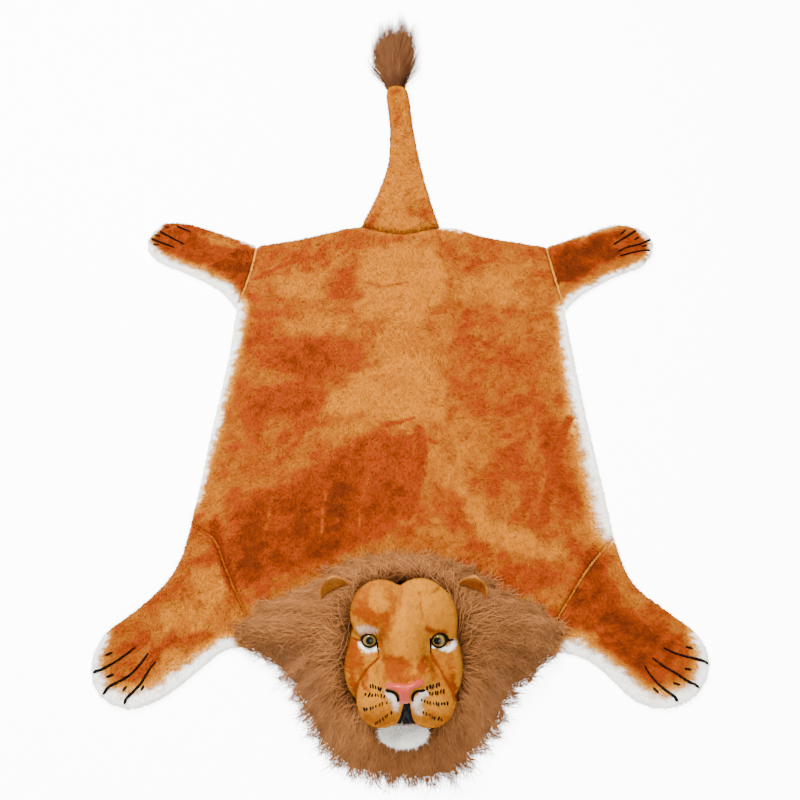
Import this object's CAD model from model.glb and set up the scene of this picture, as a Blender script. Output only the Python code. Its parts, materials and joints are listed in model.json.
"""Visual model of a lion-shaped plush floor rug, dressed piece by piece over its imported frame.

World axes: the head points to -Y, the tail to +Y, and the floor is z = 0. Sizes are in metres.
Places on the face use the head's own axes: x to the right, t toward the chin, n out of the face.
"""

from __future__ import annotations

import itertools
import json
import logging
import math
from dataclasses import dataclass
from enum import Enum
from typing import Callable, ClassVar, NamedTuple, Sequence

import bmesh
import bpy
import numpy as np
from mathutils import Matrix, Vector, geometry
from mathutils.bvhtree import BVHTree
from mathutils.kdtree import KDTree

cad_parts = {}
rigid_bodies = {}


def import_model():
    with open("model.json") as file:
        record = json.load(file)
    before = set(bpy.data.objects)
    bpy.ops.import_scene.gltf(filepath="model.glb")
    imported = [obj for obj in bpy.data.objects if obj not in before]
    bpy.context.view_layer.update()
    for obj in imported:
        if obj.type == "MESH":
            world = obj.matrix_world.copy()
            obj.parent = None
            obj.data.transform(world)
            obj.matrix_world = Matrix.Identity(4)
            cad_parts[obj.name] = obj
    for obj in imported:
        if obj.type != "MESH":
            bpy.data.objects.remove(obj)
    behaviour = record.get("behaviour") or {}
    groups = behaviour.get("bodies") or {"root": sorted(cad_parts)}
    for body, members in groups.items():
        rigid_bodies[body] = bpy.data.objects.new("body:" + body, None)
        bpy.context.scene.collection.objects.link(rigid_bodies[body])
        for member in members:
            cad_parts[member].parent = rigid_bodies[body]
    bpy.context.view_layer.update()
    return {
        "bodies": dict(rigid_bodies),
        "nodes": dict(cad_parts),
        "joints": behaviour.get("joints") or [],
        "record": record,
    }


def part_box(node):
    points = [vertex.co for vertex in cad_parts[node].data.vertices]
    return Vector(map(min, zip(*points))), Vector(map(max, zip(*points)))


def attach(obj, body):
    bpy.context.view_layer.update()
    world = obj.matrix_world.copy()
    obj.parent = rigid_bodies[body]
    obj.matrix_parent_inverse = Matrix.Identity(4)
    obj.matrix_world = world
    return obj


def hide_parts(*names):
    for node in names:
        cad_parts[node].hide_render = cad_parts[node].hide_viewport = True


LOG = logging.getLogger("lion_rug")
UP = np.array((0.0, 0.0, 1.0))
HASH_STEPS = np.array((73856093, 19349663, 83492791))
FLOOR_CLEAR = 0.0004  # no hair comes nearer the floor than this


# ---------------------------------------------------------------- paint: patches, spots and strokes of dye
def mm(*values: float) -> np.ndarray:
    """Rows of two coordinates, from millimetres given one after the other."""
    return np.reshape(values, (-1, 2)) / 1000


class Patch(NamedTuple):
    """A patch of dye: its tone, how wide its edge fades and its corners."""

    tone: float
    fade: float
    corners: np.ndarray


class Spot(NamedTuple):
    """A soft-edged spot of dye: its middle, half-sizes, turn in degrees, tone and share that fades."""

    x: float
    y: float
    half_x: float
    half_y: float
    turn: float
    tone: float
    fade: float


class Stroke(NamedTuple):
    """A stroke of dye along some points: half-widths at its start and end, tone (or None), white."""

    points: np.ndarray
    start: float
    end: float
    tone: float | None
    white: float

    def half(self, share: np.ndarray) -> np.ndarray:
        """Half its width at shares of its length."""
        return self.start + (self.end - self.start) * share


RUG_PATCHES = (
    # back and flanks
    Patch(0.62, 0.050, mm(-262, 116, -163, 142, -103, 17, -73, -48, -120, -126, -91, -194, 29, -223,
          55, -324, -36, -366, -176, -427, -278, -427, -291, -324, -264, -103)),
    Patch(0.60, 0.050, mm(88, 58, 201, 66, 256, 25, 268, -118, 289, -324, 272, -393, 145, -338, 108, -267,
          77, -164, 72, -48)),
    Patch(0.60, 0.016, mm(-244, 185, -150, 205, -67, 226, 3, 229, 17, 210, -84, 177, -170, 133,
          -234, 125)),
    Patch(0.60, 0.014, mm(61, 222, 120, 221, 235, 192, 249, 177, 162, 185, 153, 125, 104, 145, 67, 178)),
    Patch(0.20, 0.014, mm(-216, 132, -163, 158, -127, 149, -129, 99, -160, 73, -210, 91)),
    Patch(0.05, 0.009, mm(-64, 171, -5, 194, 58, 185, 73, 133, 57, 71, 31, 36, 3, 28, -40, 46, -67, 54,
          -79, 116)),
    Patch(0.14, 0.014, mm(89, 125, 147, 145, 192, 127, 213, 81, 174, 69, 127, 91)),
    Patch(0.26, 0.014, mm(-212, 39, -125, 61, -88, 46, -103, 23, -171, 7, -208, 12)),
    Patch(0.82, 0.010, mm(-257, -9, -194, 13, -103, 25, -65, 10, -59, -24, -86, -49, -156, -51, -226, -49,
          -256, -33)),
    Patch(0.72, 0.012, mm(-121, 132, -77, 152, -63, 91, -88, 63, -114, 73)),
    Patch(0.58, 0.014, mm(56, 12, 116, 58, 160, 10, 156, -56, 111, -130, 79, -118, 58, -48)),
    Patch(0.03, 0.008, mm(-127, -121, -73, -56, -4, -14, 33, -29, 59, -48, 71, -103, 65, -150, 16, -158,
          -38, -141, -86, -133)),
    Patch(1.00, 0.009, mm(-243, -90, -190, -75, -128, -86, -116, -110, -145, -133, -201, -143,
          -245, -127)),
    Patch(0.62, 0.016, mm(-247, -164, -201, -143, -162, -156, -163, -209, -202, -247, -246, -256)),
    Patch(1.00, 0.012, mm(-270, -327, -241, -270, -173, -254, -124, -223, -84, -179, -24, -162, 24, -179,
          32, -223, -1, -289, -21, -338, -93, -358, -152, -381, -207, -429, -252, -429, -281, -369)),
    Patch(1.14, 0.016, mm(-262, -322, -215, -282, -150, -258, -70, -250, -40, -300, -60, -350, -120, -374,
          -180, -404, -225, -425, -262, -400)),
    Patch(0.42, 0.014, mm(29, -310, 55, -282, 83, -324, 107, -366, 94, -388, 51, -367)),
    Patch(0.38, 0.016, mm(77, -133, 139, -124, 165, -179, 149, -256, 108, -256, 83, -194)),
    Patch(0.66, 0.012, mm(154, -87, 210, -46, 244, -118, 226, -182, 180, -150)),
    Patch(0.22, 0.010, mm(53, -221, 83, -221, 111, -260, 94, -284, 59, -261)),
    Patch(0.76, 0.012, mm(53, -253, 96, -282, 122, -327, 80, -341, 39, -299)),
    Patch(0.96, 0.008, mm(223, -150, 246, -133, 257, -223, 280, -297, 253, -302, 237, -223)),
    Patch(0.80, 0.012, mm(106, -355, 145, -345, 202, -373, 272, -387, 257, -427, 186, -447, 142, -442,
          92, -397)),
    Patch(0.12, 0.008, mm(105, -282, 146, -317, 210, -342, 263, -360, 248, -380, 183, -367, 119, -340,
          91, -304)),
    # left front leg
    Patch(0.50, 0.030, mm(-321, -317, -277, -317, -242, -444, -244, -497, -329, -574, -392, -603,
          -445, -574, -443, -519, -367, -444, -329, -371)),
    Patch(0.74, 0.012, mm(-434, -506, -404, -475, -366, -447, -337, -406, -318, -371, -300, -383,
          -325, -424, -347, -447, -375, -469, -410, -506)),
    Patch(1.06, 0.006, mm(-288, -330, -270, -383, -239, -447, -258, -436, -278, -398, -290, -353)),
    Patch(0.12, 0.012, mm(-316, -395, -278, -401, -255, -442, -266, -469, -301, -455, -318, -429)),
    Patch(0.10, 0.010, mm(-358, -470, -322, -457, -297, -469, -285, -489, -344, -493)),
    Patch(0.82, 0.007, mm(-417, -530, -402, -506, -378, -488, -371, -503, -387, -521, -409, -534)),
    Patch(0.86, 0.007, mm(-365, -519, -343, -499, -309, -493, -281, -493, -275, -501, -302, -518,
          -317, -525, -335, -515, -354, -525)),
    Patch(0.94, 0.006, mm(-378, -541, -367, -518, -352, -521, -359, -537, -375, -562, -390, -571)),
    Patch(0.88, 0.006, mm(-417, -572, -396, -562, -383, -574, -396, -591, -407, -587)),
    Patch(0.82, 0.006, mm(-415, -540, -396, -535, -397, -548, -413, -553)),
    Patch(0.06, 0.008, mm(-353, -531, -328, -519, -317, -526, -323, -547, -337, -571, -355, -583,
          -369, -586, -374, -574, -363, -555)),
    # right front leg
    Patch(0.94, 0.012, mm(314, -353, 343, -428, 383, -461, 422, -500, 445, -533, 436, -570, 392, -596,
          337, -565, 294, -511, 243, -489, 254, -442, 287, -385)),
    Patch(0.50, 0.010, mm(322, -344, 346, -422, 383, -459, 418, -489, 439, -511, 452, -528, 441, -545,
          424, -530, 401, -500, 366, -478, 334, -439, 317, -379)),
    Patch(1.20, 0.012, mm(287, -370, 315, -368, 321, -414, 344, -478, 374, -517, 355, -539, 324, -534,
          304, -490, 257, -479, 254, -457, 280, -414)),
    Patch(0.64, 0.008, mm(334, -445, 353, -442, 361, -467, 343, -467)),
    Patch(0.64, 0.008, mm(394, -518, 424, -528, 435, -552, 420, -571, 396, -556, 381, -534)),
    Patch(0.94, 0.006, mm(368, -543, 385, -557, 393, -578, 377, -586, 366, -565)),
    Patch(0.16, 0.008, mm(240, -489, 280, -486, 302, -514, 281, -511, 258, -500)),
    # left hind leg
    Patch(0.98, 0.008, mm(-428, 222, -409, 242, -386, 243, -340, 230, -252, 198, -252, 157, -267, 99,
          -288, 120, -321, 144, -358, 163, -397, 171, -421, 190)),
    Patch(0.26, 0.006, mm(-362, 219, -335, 225, -294, 209, -257, 194, -293, 196, -334, 206)),
    Patch(1.14, 0.006, mm(-340, 161, -314, 171, -278, 168, -259, 178, -264, 155, -281, 143, -308, 146,
          -326, 151)),
    Patch(1.04, 0.004, mm(-382, 184, -348, 179, -306, 190, -262, 193, -262, 186, -305, 180, -347, 172,
          -377, 175)),
    Patch(1.00, 0.006, mm(-418, 217, -387, 222, -357, 211, -343, 200, -364, 188, -394, 192, -413, 203)),
    Patch(0.24, 0.005, mm(-404, 173, -374, 170, -340, 161, -321, 151, -303, 139, -325, 142, -357, 156)),
    # right hind leg
    Patch(1.30, 0.007, mm(253, 190, 287, 192, 322, 203, 350, 219, 371, 230, 389, 228, 402, 214, 390, 181,
          366, 163, 329, 141, 306, 125, 287, 116, 265, 119, 259, 157)),
    Patch(1.45, 0.009, mm(273, 179, 300, 185, 320, 171, 324, 149, 306, 131, 279, 125, 266, 147)),
    Patch(0.78, 0.006, mm(370, 217, 403, 225, 424, 209, 431, 192, 413, 184, 385, 179, 373, 190)),
    Patch(0.10, 0.005, mm(437, 184, 432, 169, 397, 153, 365, 142, 333, 131, 305, 117, 289, 102, 286, 110,
          313, 128, 356, 152, 398, 173)),
    Patch(0.34, 0.005, mm(270, 120, 288, 120, 290, 99, 279, 93, 271, 104)),
    # tail
    Patch(0.07, 0.012, mm(-26, 560, 18, 560, 27, 451, 53, 307, 74, 238, 7, 220, -68, 238, -16, 355)),
    Patch(0.72, 0.004, mm(-12, 543, 2, 546, 4, 536, -7, 531, -14, 535)),
    Patch(0.46, 0.006, mm(-10, 500, 3, 503, 4, 461, -7, 455)),
    Patch(0.60, 0.008, mm(15, 304, 34, 302, 32, 266, 22, 256, 9, 280)),
    Patch(0.56, 0.006, mm(-64, 238, -38, 270, -29, 266, -45, 234)),
    Patch(0.62, 0.007, mm(36, 283, 52, 289, 68, 243, 34, 234)),
)
RUG_STROKES = (
    # white borders of the body
    Stroke(mm(-331, -290, -317, -230, -303, -140, -287, -28, -279, 70), 0.011, 0.014, None, 1.0),
    Stroke(mm(337, -322, 325, -255, 305, -140), 0.026, 0.02, None, 1.0),
    Stroke(mm(305, -140, 291, -28, 281, 66), 0.02, 0.011, None, 1.0),
    # creases, folds and scratches
    Stroke(mm(223, -303, 242, -232, 256, -179, 272, -140), 0.006, 0.005, 0.95, 0.0),
    Stroke(mm(-290, -326, -276, -368, -252, -424), 0.008, 0.007, 1.15, 0.0),
    Stroke(mm(31, -160, 36, -200, 26, -252, 10, -300), 0.006, 0.009, 0.96, 0.0),
    Stroke(mm(-24, -152, 4, -146, 22, -140), 0.004, 0.002, 0.9, 0.0),
    Stroke(mm(10, -172, 36, -176, 58, -186), 0.003, 0.002, 0.85, 0.0),
    Stroke(mm(-119, -232, -139, -253, -157, -276), 0.004, 0.003, 1.0, 0.0),
    Stroke(mm(-196, -246, -202, -300, -208, -350), 0.0008, 0.0008, 0.4, 0.0),
    Stroke(mm(-116, -262, -120, -300, -124, -352), 0.0008, 0.0008, 0.4, 0.0),
    Stroke(mm(-46, -240, -60, -280, -64, -330), 0.0008, 0.0008, 0.42, 0.0),
    Stroke(mm(-250, 128, -200, 158, -130, 180), 0.003, 0.002, 0.85, 0.0),
    Stroke(mm(-60, 120, -30, 112, 10, 118), 0.002, 0.002, 0.55, 0.0),
    # white at the tail and hips
    Stroke(mm(78, 236, 90, 236, 104, 230), 0.005, 0.005, None, 0.9),
    Stroke(mm(-252, 204, -236, 206), 0.006, 0.003, None, 0.7),
    Stroke(mm(205, 211, 232, 204, 256, 203), 0.003, 0.006, None, 0.85),
    # white edges of the front legs
    Stroke(mm(-330, -330, -352, -392, -398, -450, -444, -496), 0.003, 0.004, None, 0.7),
    Stroke(mm(-446, -500, -462, -548, -446, -596, -398, -620), 0.01, 0.023, None, 1.0),
    Stroke(mm(-400, -620, -347, -604, -298, -560, -256, -524), 0.023, 0.016, None, 1.0),
    Stroke(mm(346, -380, 366, -420, 410, -462, 448, -496), 0.003, 0.004, None, 0.7),
    Stroke(mm(448, -500, 463, -545, 444, -592, 394, -618), 0.014, 0.024, None, 1.0),
    Stroke(mm(396, -618, 346, -606, 299, -560, 256, -528), 0.02, 0.017, None, 1.0),
    # white edges of the hind legs
    Stroke(mm(-279, 72, -305, 106, -361, 139, -424, 168), 0.014, 0.013, None, 1.0),
    Stroke(mm(-424, 170, -443, 208, -420, 246), 0.01, 0.005, None, 0.95),
    Stroke(mm(-250, 202, -314, 229, -372, 248), 0.003, 0.002, None, 0.7),
    Stroke(mm(281, 68, 306, 96, 369, 134, 423, 158), 0.01, 0.007, None, 1.0),
    Stroke(mm(424, 160, 444, 203, 422, 238), 0.006, 0.008, None, 0.85),
    Stroke(mm(254, 202, 323, 226, 374, 247), 0.005, 0.009, None, 0.9),
)
FACE_SPOTS = (
    # forehead and brows
    Spot(-0.040, -0.091, 0.029, 0.025, -8, 0.70, 0.9),
    Spot(-0.035, -0.098, 0.013, 0.014, 0, 0.10, 0.8),
    Spot(-0.044, -0.071, 0.025, 0.011, 12, 0.78, 0.7),
    Spot(-0.028, -0.058, 0.007, 0.015, -24, 0.60, 0.8),
    # round the nose
    Spot(-0.010, -0.013, 0.021, 0.014, 4, 0.80, 0.8),
    Spot(0.004, 0.000, 0.020, 0.005, 0, 0.60, 0.8),
    Spot(0.026, -0.013, 0.009, 0.012, -10, 0.80, 0.8),
    Spot(0.042, -0.006, 0.006, 0.012, -20, 0.74, 0.7),
    Spot(-0.027, -0.001, 0.005, 0.009, 0, 0.56, 0.8),
    Spot(-0.030, -0.034, 0.005, 0.018, 0, 0.50, 1.0),
    # cheeks and pads
    Spot(-0.068, -0.012, 0.015, 0.025, 6, 0.72, 0.9),
    Spot(-0.074, -0.034, 0.012, 0.007, 0, 0.74, 0.8),
    Spot(-0.071, 0.026, 0.006, 0.018, 0, 0.74, 0.9),
    Spot(-0.054, 0.012, 0.004, 0.014, -30, 0.60, 0.9),
    Spot(0.068, 0.014, 0.005, 0.026, -8, 0.96, 0.8),
    Spot(0.064, -0.016, 0.006, 0.010, 0, 0.62, 0.8),
    Spot(0.057, 0.000, 0.016, 0.030, 0, 0.44, 1.1),
    Spot(-0.036, 0.062, 0.024, 0.014, -16, 0.48, 1.0),
    Spot(0.044, 0.062, 0.024, 0.014, 16, 0.46, 1.0),
    Spot(-0.052, -0.050, 0.020, 0.004, 0, 0.50, 1.0),
)
FACE_STROKES = (
    # brow, creases and seams
    Stroke(mm(32, -60, 39, -55, 48, -52.5, 57, -50.5), 0.0024, 0.0032, 0.76, 0.0),
    Stroke(mm(23, -96, 25, -84, 26, -70), 0.0005, 0.0007, 0.7, 0.0),
    Stroke(mm(20, -106, 36, -104, 52, -108), 0.0006, 0.0005, 0.7, 0.0),
    Stroke(mm(-4, -116, -4.5, -102, -6, -88), 0.0009, 0.0005, 0.6, 0.0),
    Stroke(mm(-35.5, -24, -35.5, -14, -42.5, -7, -52, 4, -61, 17, -66, 32,
          -66.5, 46), 0.001, 0.0014, 0.92, 0.0),
    Stroke(mm(37.5, -22, 42.5, -11, 51, 2, 59, 14, 64.5, 24, 70, 40), 0.001, 0.0014, 0.96, 0.0),
    Stroke(mm(-58, -36, -68, -35.5, -79, -36), 0.001, 0.0005, 1.2, 0.0),
    # white round the eyes and nose
    Stroke(mm(-61, -54, -50, -56.5, -40, -56), 0.005, 0.004, None, 0.27),
    Stroke(mm(-57, -30, -53.5, -26.2, -47.5, -24.8, -39, -26.8), 0.0036, 0.003, None, 1.0),
    Stroke(mm(43, -30, 53, -26.5, 61, -26.2, 68, -30), 0.0016, 0.0044, None, 1.0),
    Stroke(mm(-20, 21.5, -15, 26, -11, 35), 0.0048, 0.0042, None, 0.6),
    Stroke(mm(-11, 35, -10, 45), 0.005, 0.0034, None, 0.34),
    Stroke(mm(27, 23, 20, 28, 16, 36), 0.0046, 0.0052, None, 0.58),
    Stroke(mm(16, 36, 19, 48), 0.006, 0.005, None, 0.36),
)


def hashed(cells: np.ndarray, seed: int) -> np.ndarray:
    """One value from -1 to 1 for each row of whole numbers, and for a seed."""
    key = cells @ HASH_STEPS[: cells.shape[1]] + seed * 15013
    key = ((key ^ (key >> 11)) * 668265263) & 0x7FFFFFFF
    key = ((key ^ (key >> 13)) * 374761393) & 0x7FFFFFFF
    return ((key >> 7) & 0xFFFF) / 32767.5 - 1


def smooth_noise(spots: np.ndarray, wavelength: float, seed: int) -> np.ndarray:
    """Smooth hashed noise.

    Args:
        spots: rows of two or three coordinates.
        wavelength: distance between the lattice's values.
        seed: picks another pattern.

    Returns:
        One value from -1 to 1 for each row.
    """
    scaled = spots / wavelength
    cell = np.floor(scaled).astype(np.int64)
    part = scaled - cell
    part = part * part * (3 - 2 * part)
    total = np.zeros(len(spots))
    for corner in itertools.product((0, 1), repeat=spots.shape[1]):
        chosen = np.array(corner)
        weight = np.prod(np.where(chosen == 1, part, 1 - part), axis=1)
        total += weight * hashed(cell + chosen, seed)
    return total


def layered_noise(spots: np.ndarray, wavelength: float, layers: int, seed: int) -> np.ndarray:
    """Noise of several wavelengths, each half the last.

    Args:
        spots: rows of coordinates.
        wavelength: the longest wavelength.
        layers: how many are added up.
        seed: picks another pattern.

    Returns:
        One value of about -1 to 1 for each row.
    """
    total = np.zeros(len(spots))
    for layer in range(layers):
        total += smooth_noise(spots, wavelength / 2**layer, seed + 31 * layer) / 2**layer
    return total / (2 - 0.5 ** (layers - 1))


def facets(spots: np.ndarray, size: float, seed: int) -> np.ndarray:
    """Patches of crushed pile that meet at nearly sharp joins.

    Args:
        spots: rows of two coordinates.
        size: about how wide a patch is.
        seed: picks another pattern.

    Returns:
        One value from -1 to 1 for each row.
    """
    scaled = spots / size
    cell = np.floor(scaled).astype(np.int64)
    near, next_near = np.full(len(spots), np.inf), np.full(len(spots), np.inf)
    value, next_value = np.zeros(len(spots)), np.zeros(len(spots))
    for step in itertools.product((-1, 0, 1), repeat=2):
        key = cell + np.array(step)
        jitter = np.stack((hashed(key, seed), hashed(key, seed + 1)), axis=1)
        gap = np.linalg.norm(scaled - key - 0.5 - 0.48 * jitter, axis=1)
        own = hashed(key, seed + 2)
        nearer, second = gap < near, (gap >= near) & (gap < next_near)
        next_near = np.where(nearer, near, np.where(second, gap, next_near))
        next_value = np.where(nearer, value, np.where(second, own, next_value))
        near, value = np.where(nearer, gap, near), np.where(nearer, own, value)
    share = 0.5 + 0.5 * np.clip((next_near - near) / 0.14, 0, 1)
    return value * share + next_value * (1 - share)


def ease(value: np.ndarray) -> np.ndarray:
    """A soft step from 0 to 1."""
    held = np.clip(value, 0, 1)
    return held * held * (3 - 2 * held)


def line_reach(spots: np.ndarray, points: Sequence) -> tuple:
    """Distance of each spot to an open line, and how far along the line its nearest point is.

    Args:
        spots: rows of two coordinates.
        points: the line's corners.

    Returns:
        One distance and one share from 0 to 1 for each spot.
    """
    line = np.array(points)
    nearest = np.full(len(spots), np.inf)
    along = np.zeros(len(spots))
    for index, (start, end) in enumerate(zip(line[:-1], line[1:])):
        run = end - start
        share = np.clip(((spots - start) @ run) / (run @ run), 0, 1)
        gap = np.linalg.norm(spots - start - share[:, None] * run, axis=1)
        along = np.where(gap < nearest, (index + share) / (len(line) - 1), along)
        nearest = np.minimum(nearest, gap)
    return nearest, along


def within(spots: np.ndarray, rim: Sequence) -> np.ndarray:
    """Which spots lie inside a closed line.

    Args:
        spots: rows of two coordinates.
        rim: the line's points.

    Returns:
        True or false for each spot.
    """
    inside = np.zeros(len(spots), dtype=bool)
    for (x0, y0), (x1, y1) in zip(rim, np.roll(rim, -1, axis=0)):
        if y0 != y1:
            crosses = (spots[:, 1] > y0) != (spots[:, 1] > y1)
            inside ^= crosses & (spots[:, 0] < x0 + (spots[:, 1] - y0) * (x1 - x0) / (y1 - y0))
    return inside


@dataclass(frozen=True)
class DyePattern:
    """The dye of one cloth: a ground tone, patches, spots and strokes, all with wandering edges."""

    ground: float
    strokes: tuple
    wander: float  # how far the edges of patches and spots wander
    white_wander: float  # and those of white strokes
    white_fade: float  # how softly white strokes end, as a share of their width
    fringe: float  # how far the dye pales before white, as a share of its width
    wavelength: float
    halo: float  # tone of the dye just beside white
    mottle: float  # how uneven the tone is
    seed: int
    patches: tuple = ()
    spots: tuple = ()

    def wandered(self, places: np.ndarray, reach: float) -> np.ndarray:
        """Places moved by noise, so that straight edges wander.

        Args:
            places: rows of two coordinates.
            reach: how far they move.

        Returns:
            The moved places.
        """
        moved = [layered_noise(places, self.wavelength, 4, self.seed + k) for k in (1, 2)]
        return places + np.stack(moved, axis=1) * reach

    def crush(self, places: np.ndarray) -> np.ndarray:
        """How crushed pile lies: large and small facets that run aslant, from -1 to 1.

        Args:
            places: rows of two coordinates.

        Returns:
            One value for each place.
        """
        bent = self.wandered(places, 1.3 * self.wander)
        turned = bent @ np.array(((0.82, -0.57), (0.57, 0.82))) * (0.62, 1.0)
        large = facets(turned, 0.42 * self.wavelength, self.seed + 5)
        small = facets(turned + 7.0, 0.15 * self.wavelength, self.seed + 6)
        return 0.45 * large + 0.55 * small

    def patched(self, tone: np.ndarray, places: np.ndarray) -> np.ndarray:
        """Lay the patches over a tone.

        Args:
            tone: one tone for each place.
            places: rows of two coordinates.

        Returns:
            The new tones.
        """
        for patch in self.patches:
            corners = patch.corners
            fade = 1.5 * patch.fade + min(0.010, 0.12 * float(np.ptp(corners, axis=0).min()))
            near = np.all((places > corners.min(axis=0) - fade)
                          & (places < corners.max(axis=0) + fade), axis=1)
            spots = places[near]
            gap = line_reach(spots, np.concatenate((corners, corners[:1])))[0]
            depth = np.where(within(spots, corners), gap, -gap)
            tone[near] += ease(0.5 + depth / fade) * (patch.tone - tone[near])
        return tone

    def frayed(self, places: np.ndarray) -> np.ndarray:
        """Small sideways shifts that fray the edges of patches, as two rows of shares."""
        size = 0.16 * self.wavelength
        return np.stack([layered_noise(places, size, 2, self.seed + step) for step in (11, 12)], axis=1)

    def creases(self, places: np.ndarray) -> np.ndarray:
        """Fine dark creases where the pile folds over.

        Args:
            places: rows of two coordinates.

        Returns:
            A share from 0 to 1 for each place.
        """
        bent = self.wandered(places, 1.6 * self.wander) @ np.array(((0.90, -0.43), (0.43, 0.90)))
        bent = bent * (0.7, 1.0)
        fold = np.abs(layered_noise(bent, 0.62 * self.wavelength, 2, self.seed + 7))
        where = ease(0.6 + 1.4 * smooth_noise(places, 0.8 * self.wavelength, self.seed + 8))
        return ease(1.2 - fold / 0.075) * where

    def tone(self, places: np.ndarray) -> np.ndarray:
        """Tone of the dye: straw below 0, pale gold at 0, burnt orange at 0.8, deep brown at 1.3.

        Args:
            places: rows of two coordinates.

        Returns:
            One tone for each place.
        """
        moved = self.wandered(places, self.wander)
        moved = moved + 0.55 * self.wander * self.frayed(places)
        tone = self.patched(np.full(len(places), self.ground), moved)
        for spot in self.spots:
            turn = math.radians(spot.turn)
            offset = moved - np.array((spot.x, spot.y))
            along = offset @ np.array((math.cos(turn), math.sin(turn))) / spot.half_x
            across = offset @ np.array((-math.sin(turn), math.cos(turn))) / spot.half_y
            cover = ease((1 + 0.5 * spot.fade - np.hypot(along, across)) / spot.fade)
            tone += cover * (spot.tone - tone)
        crush = self.crush(places) + 0.6 * layered_noise(places, self.wavelength, 4, self.seed + 3)
        rough = 0.55 * layered_noise(places, self.wavelength / 9, 3, self.seed + 9)
        crumple = 0.7 * layered_noise(places, self.wavelength / 4, 2, self.seed + 13)
        tone += self.mottle * (crush + rough + crumple + 0.7 * self.creases(places) - 0.1)
        tone = np.maximum(tone, 0)
        slight = self.wandered(places, 0.35 * self.wander)
        for stroke in self.strokes:
            gap, share = line_reach(slight, stroke.points)
            if stroke.tone is not None:
                tone += ease(1.7 - gap / stroke.half(share)) * (stroke.tone - tone)
            else:
                cover = stroke.white * ease(1.3 - (gap / stroke.half(share) - 1) / self.fringe)
                tone += 0.92 * cover * (self.halo - tone)
        return np.clip(tone, -0.3, 1.4)

    def white(self, places: np.ndarray) -> np.ndarray:
        """Share of white plush.

        Args:
            places: rows of two coordinates.

        Returns:
            One share for each place.
        """
        moved = self.wandered(places, self.white_wander)
        fine = smooth_noise(places * (0.4, 1), self.wavelength / 19, self.seed + 4)
        spiky = 0.8 * self.white_wander * fine
        white = np.zeros(len(places))
        for stroke in self.strokes:
            if stroke.white > 0:
                gap, share = line_reach(moved, stroke.points)
                inward = 1 + 0.5 * self.white_fade - (gap + spiky) / stroke.half(share)
                white = np.maximum(white, stroke.white * ease(inward / self.white_fade))
        return white


RUG_DYE = DyePattern(ground=0.42, strokes=RUG_STROKES, wander=0.015, white_wander=0.006, white_fade=0.7,
                     fringe=1.0, wavelength=0.075, halo=-0.24, mottle=0.26, seed=21, patches=RUG_PATCHES)
FACE_DYE = DyePattern(ground=0.10, strokes=FACE_STROKES, wander=0.007, white_wander=0.003, white_fade=1.3,
                      fringe=1.0, wavelength=0.018, halo=-0.10, mottle=0.16, seed=40, spots=FACE_SPOTS)


# ---------------------------------------------------------------- materials
def dye(red: float, green: float, blue: float) -> tuple:
    """A colour given by the shares of light that it throws back, as RGBA."""
    return (red, green, blue, 1.0)


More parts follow.
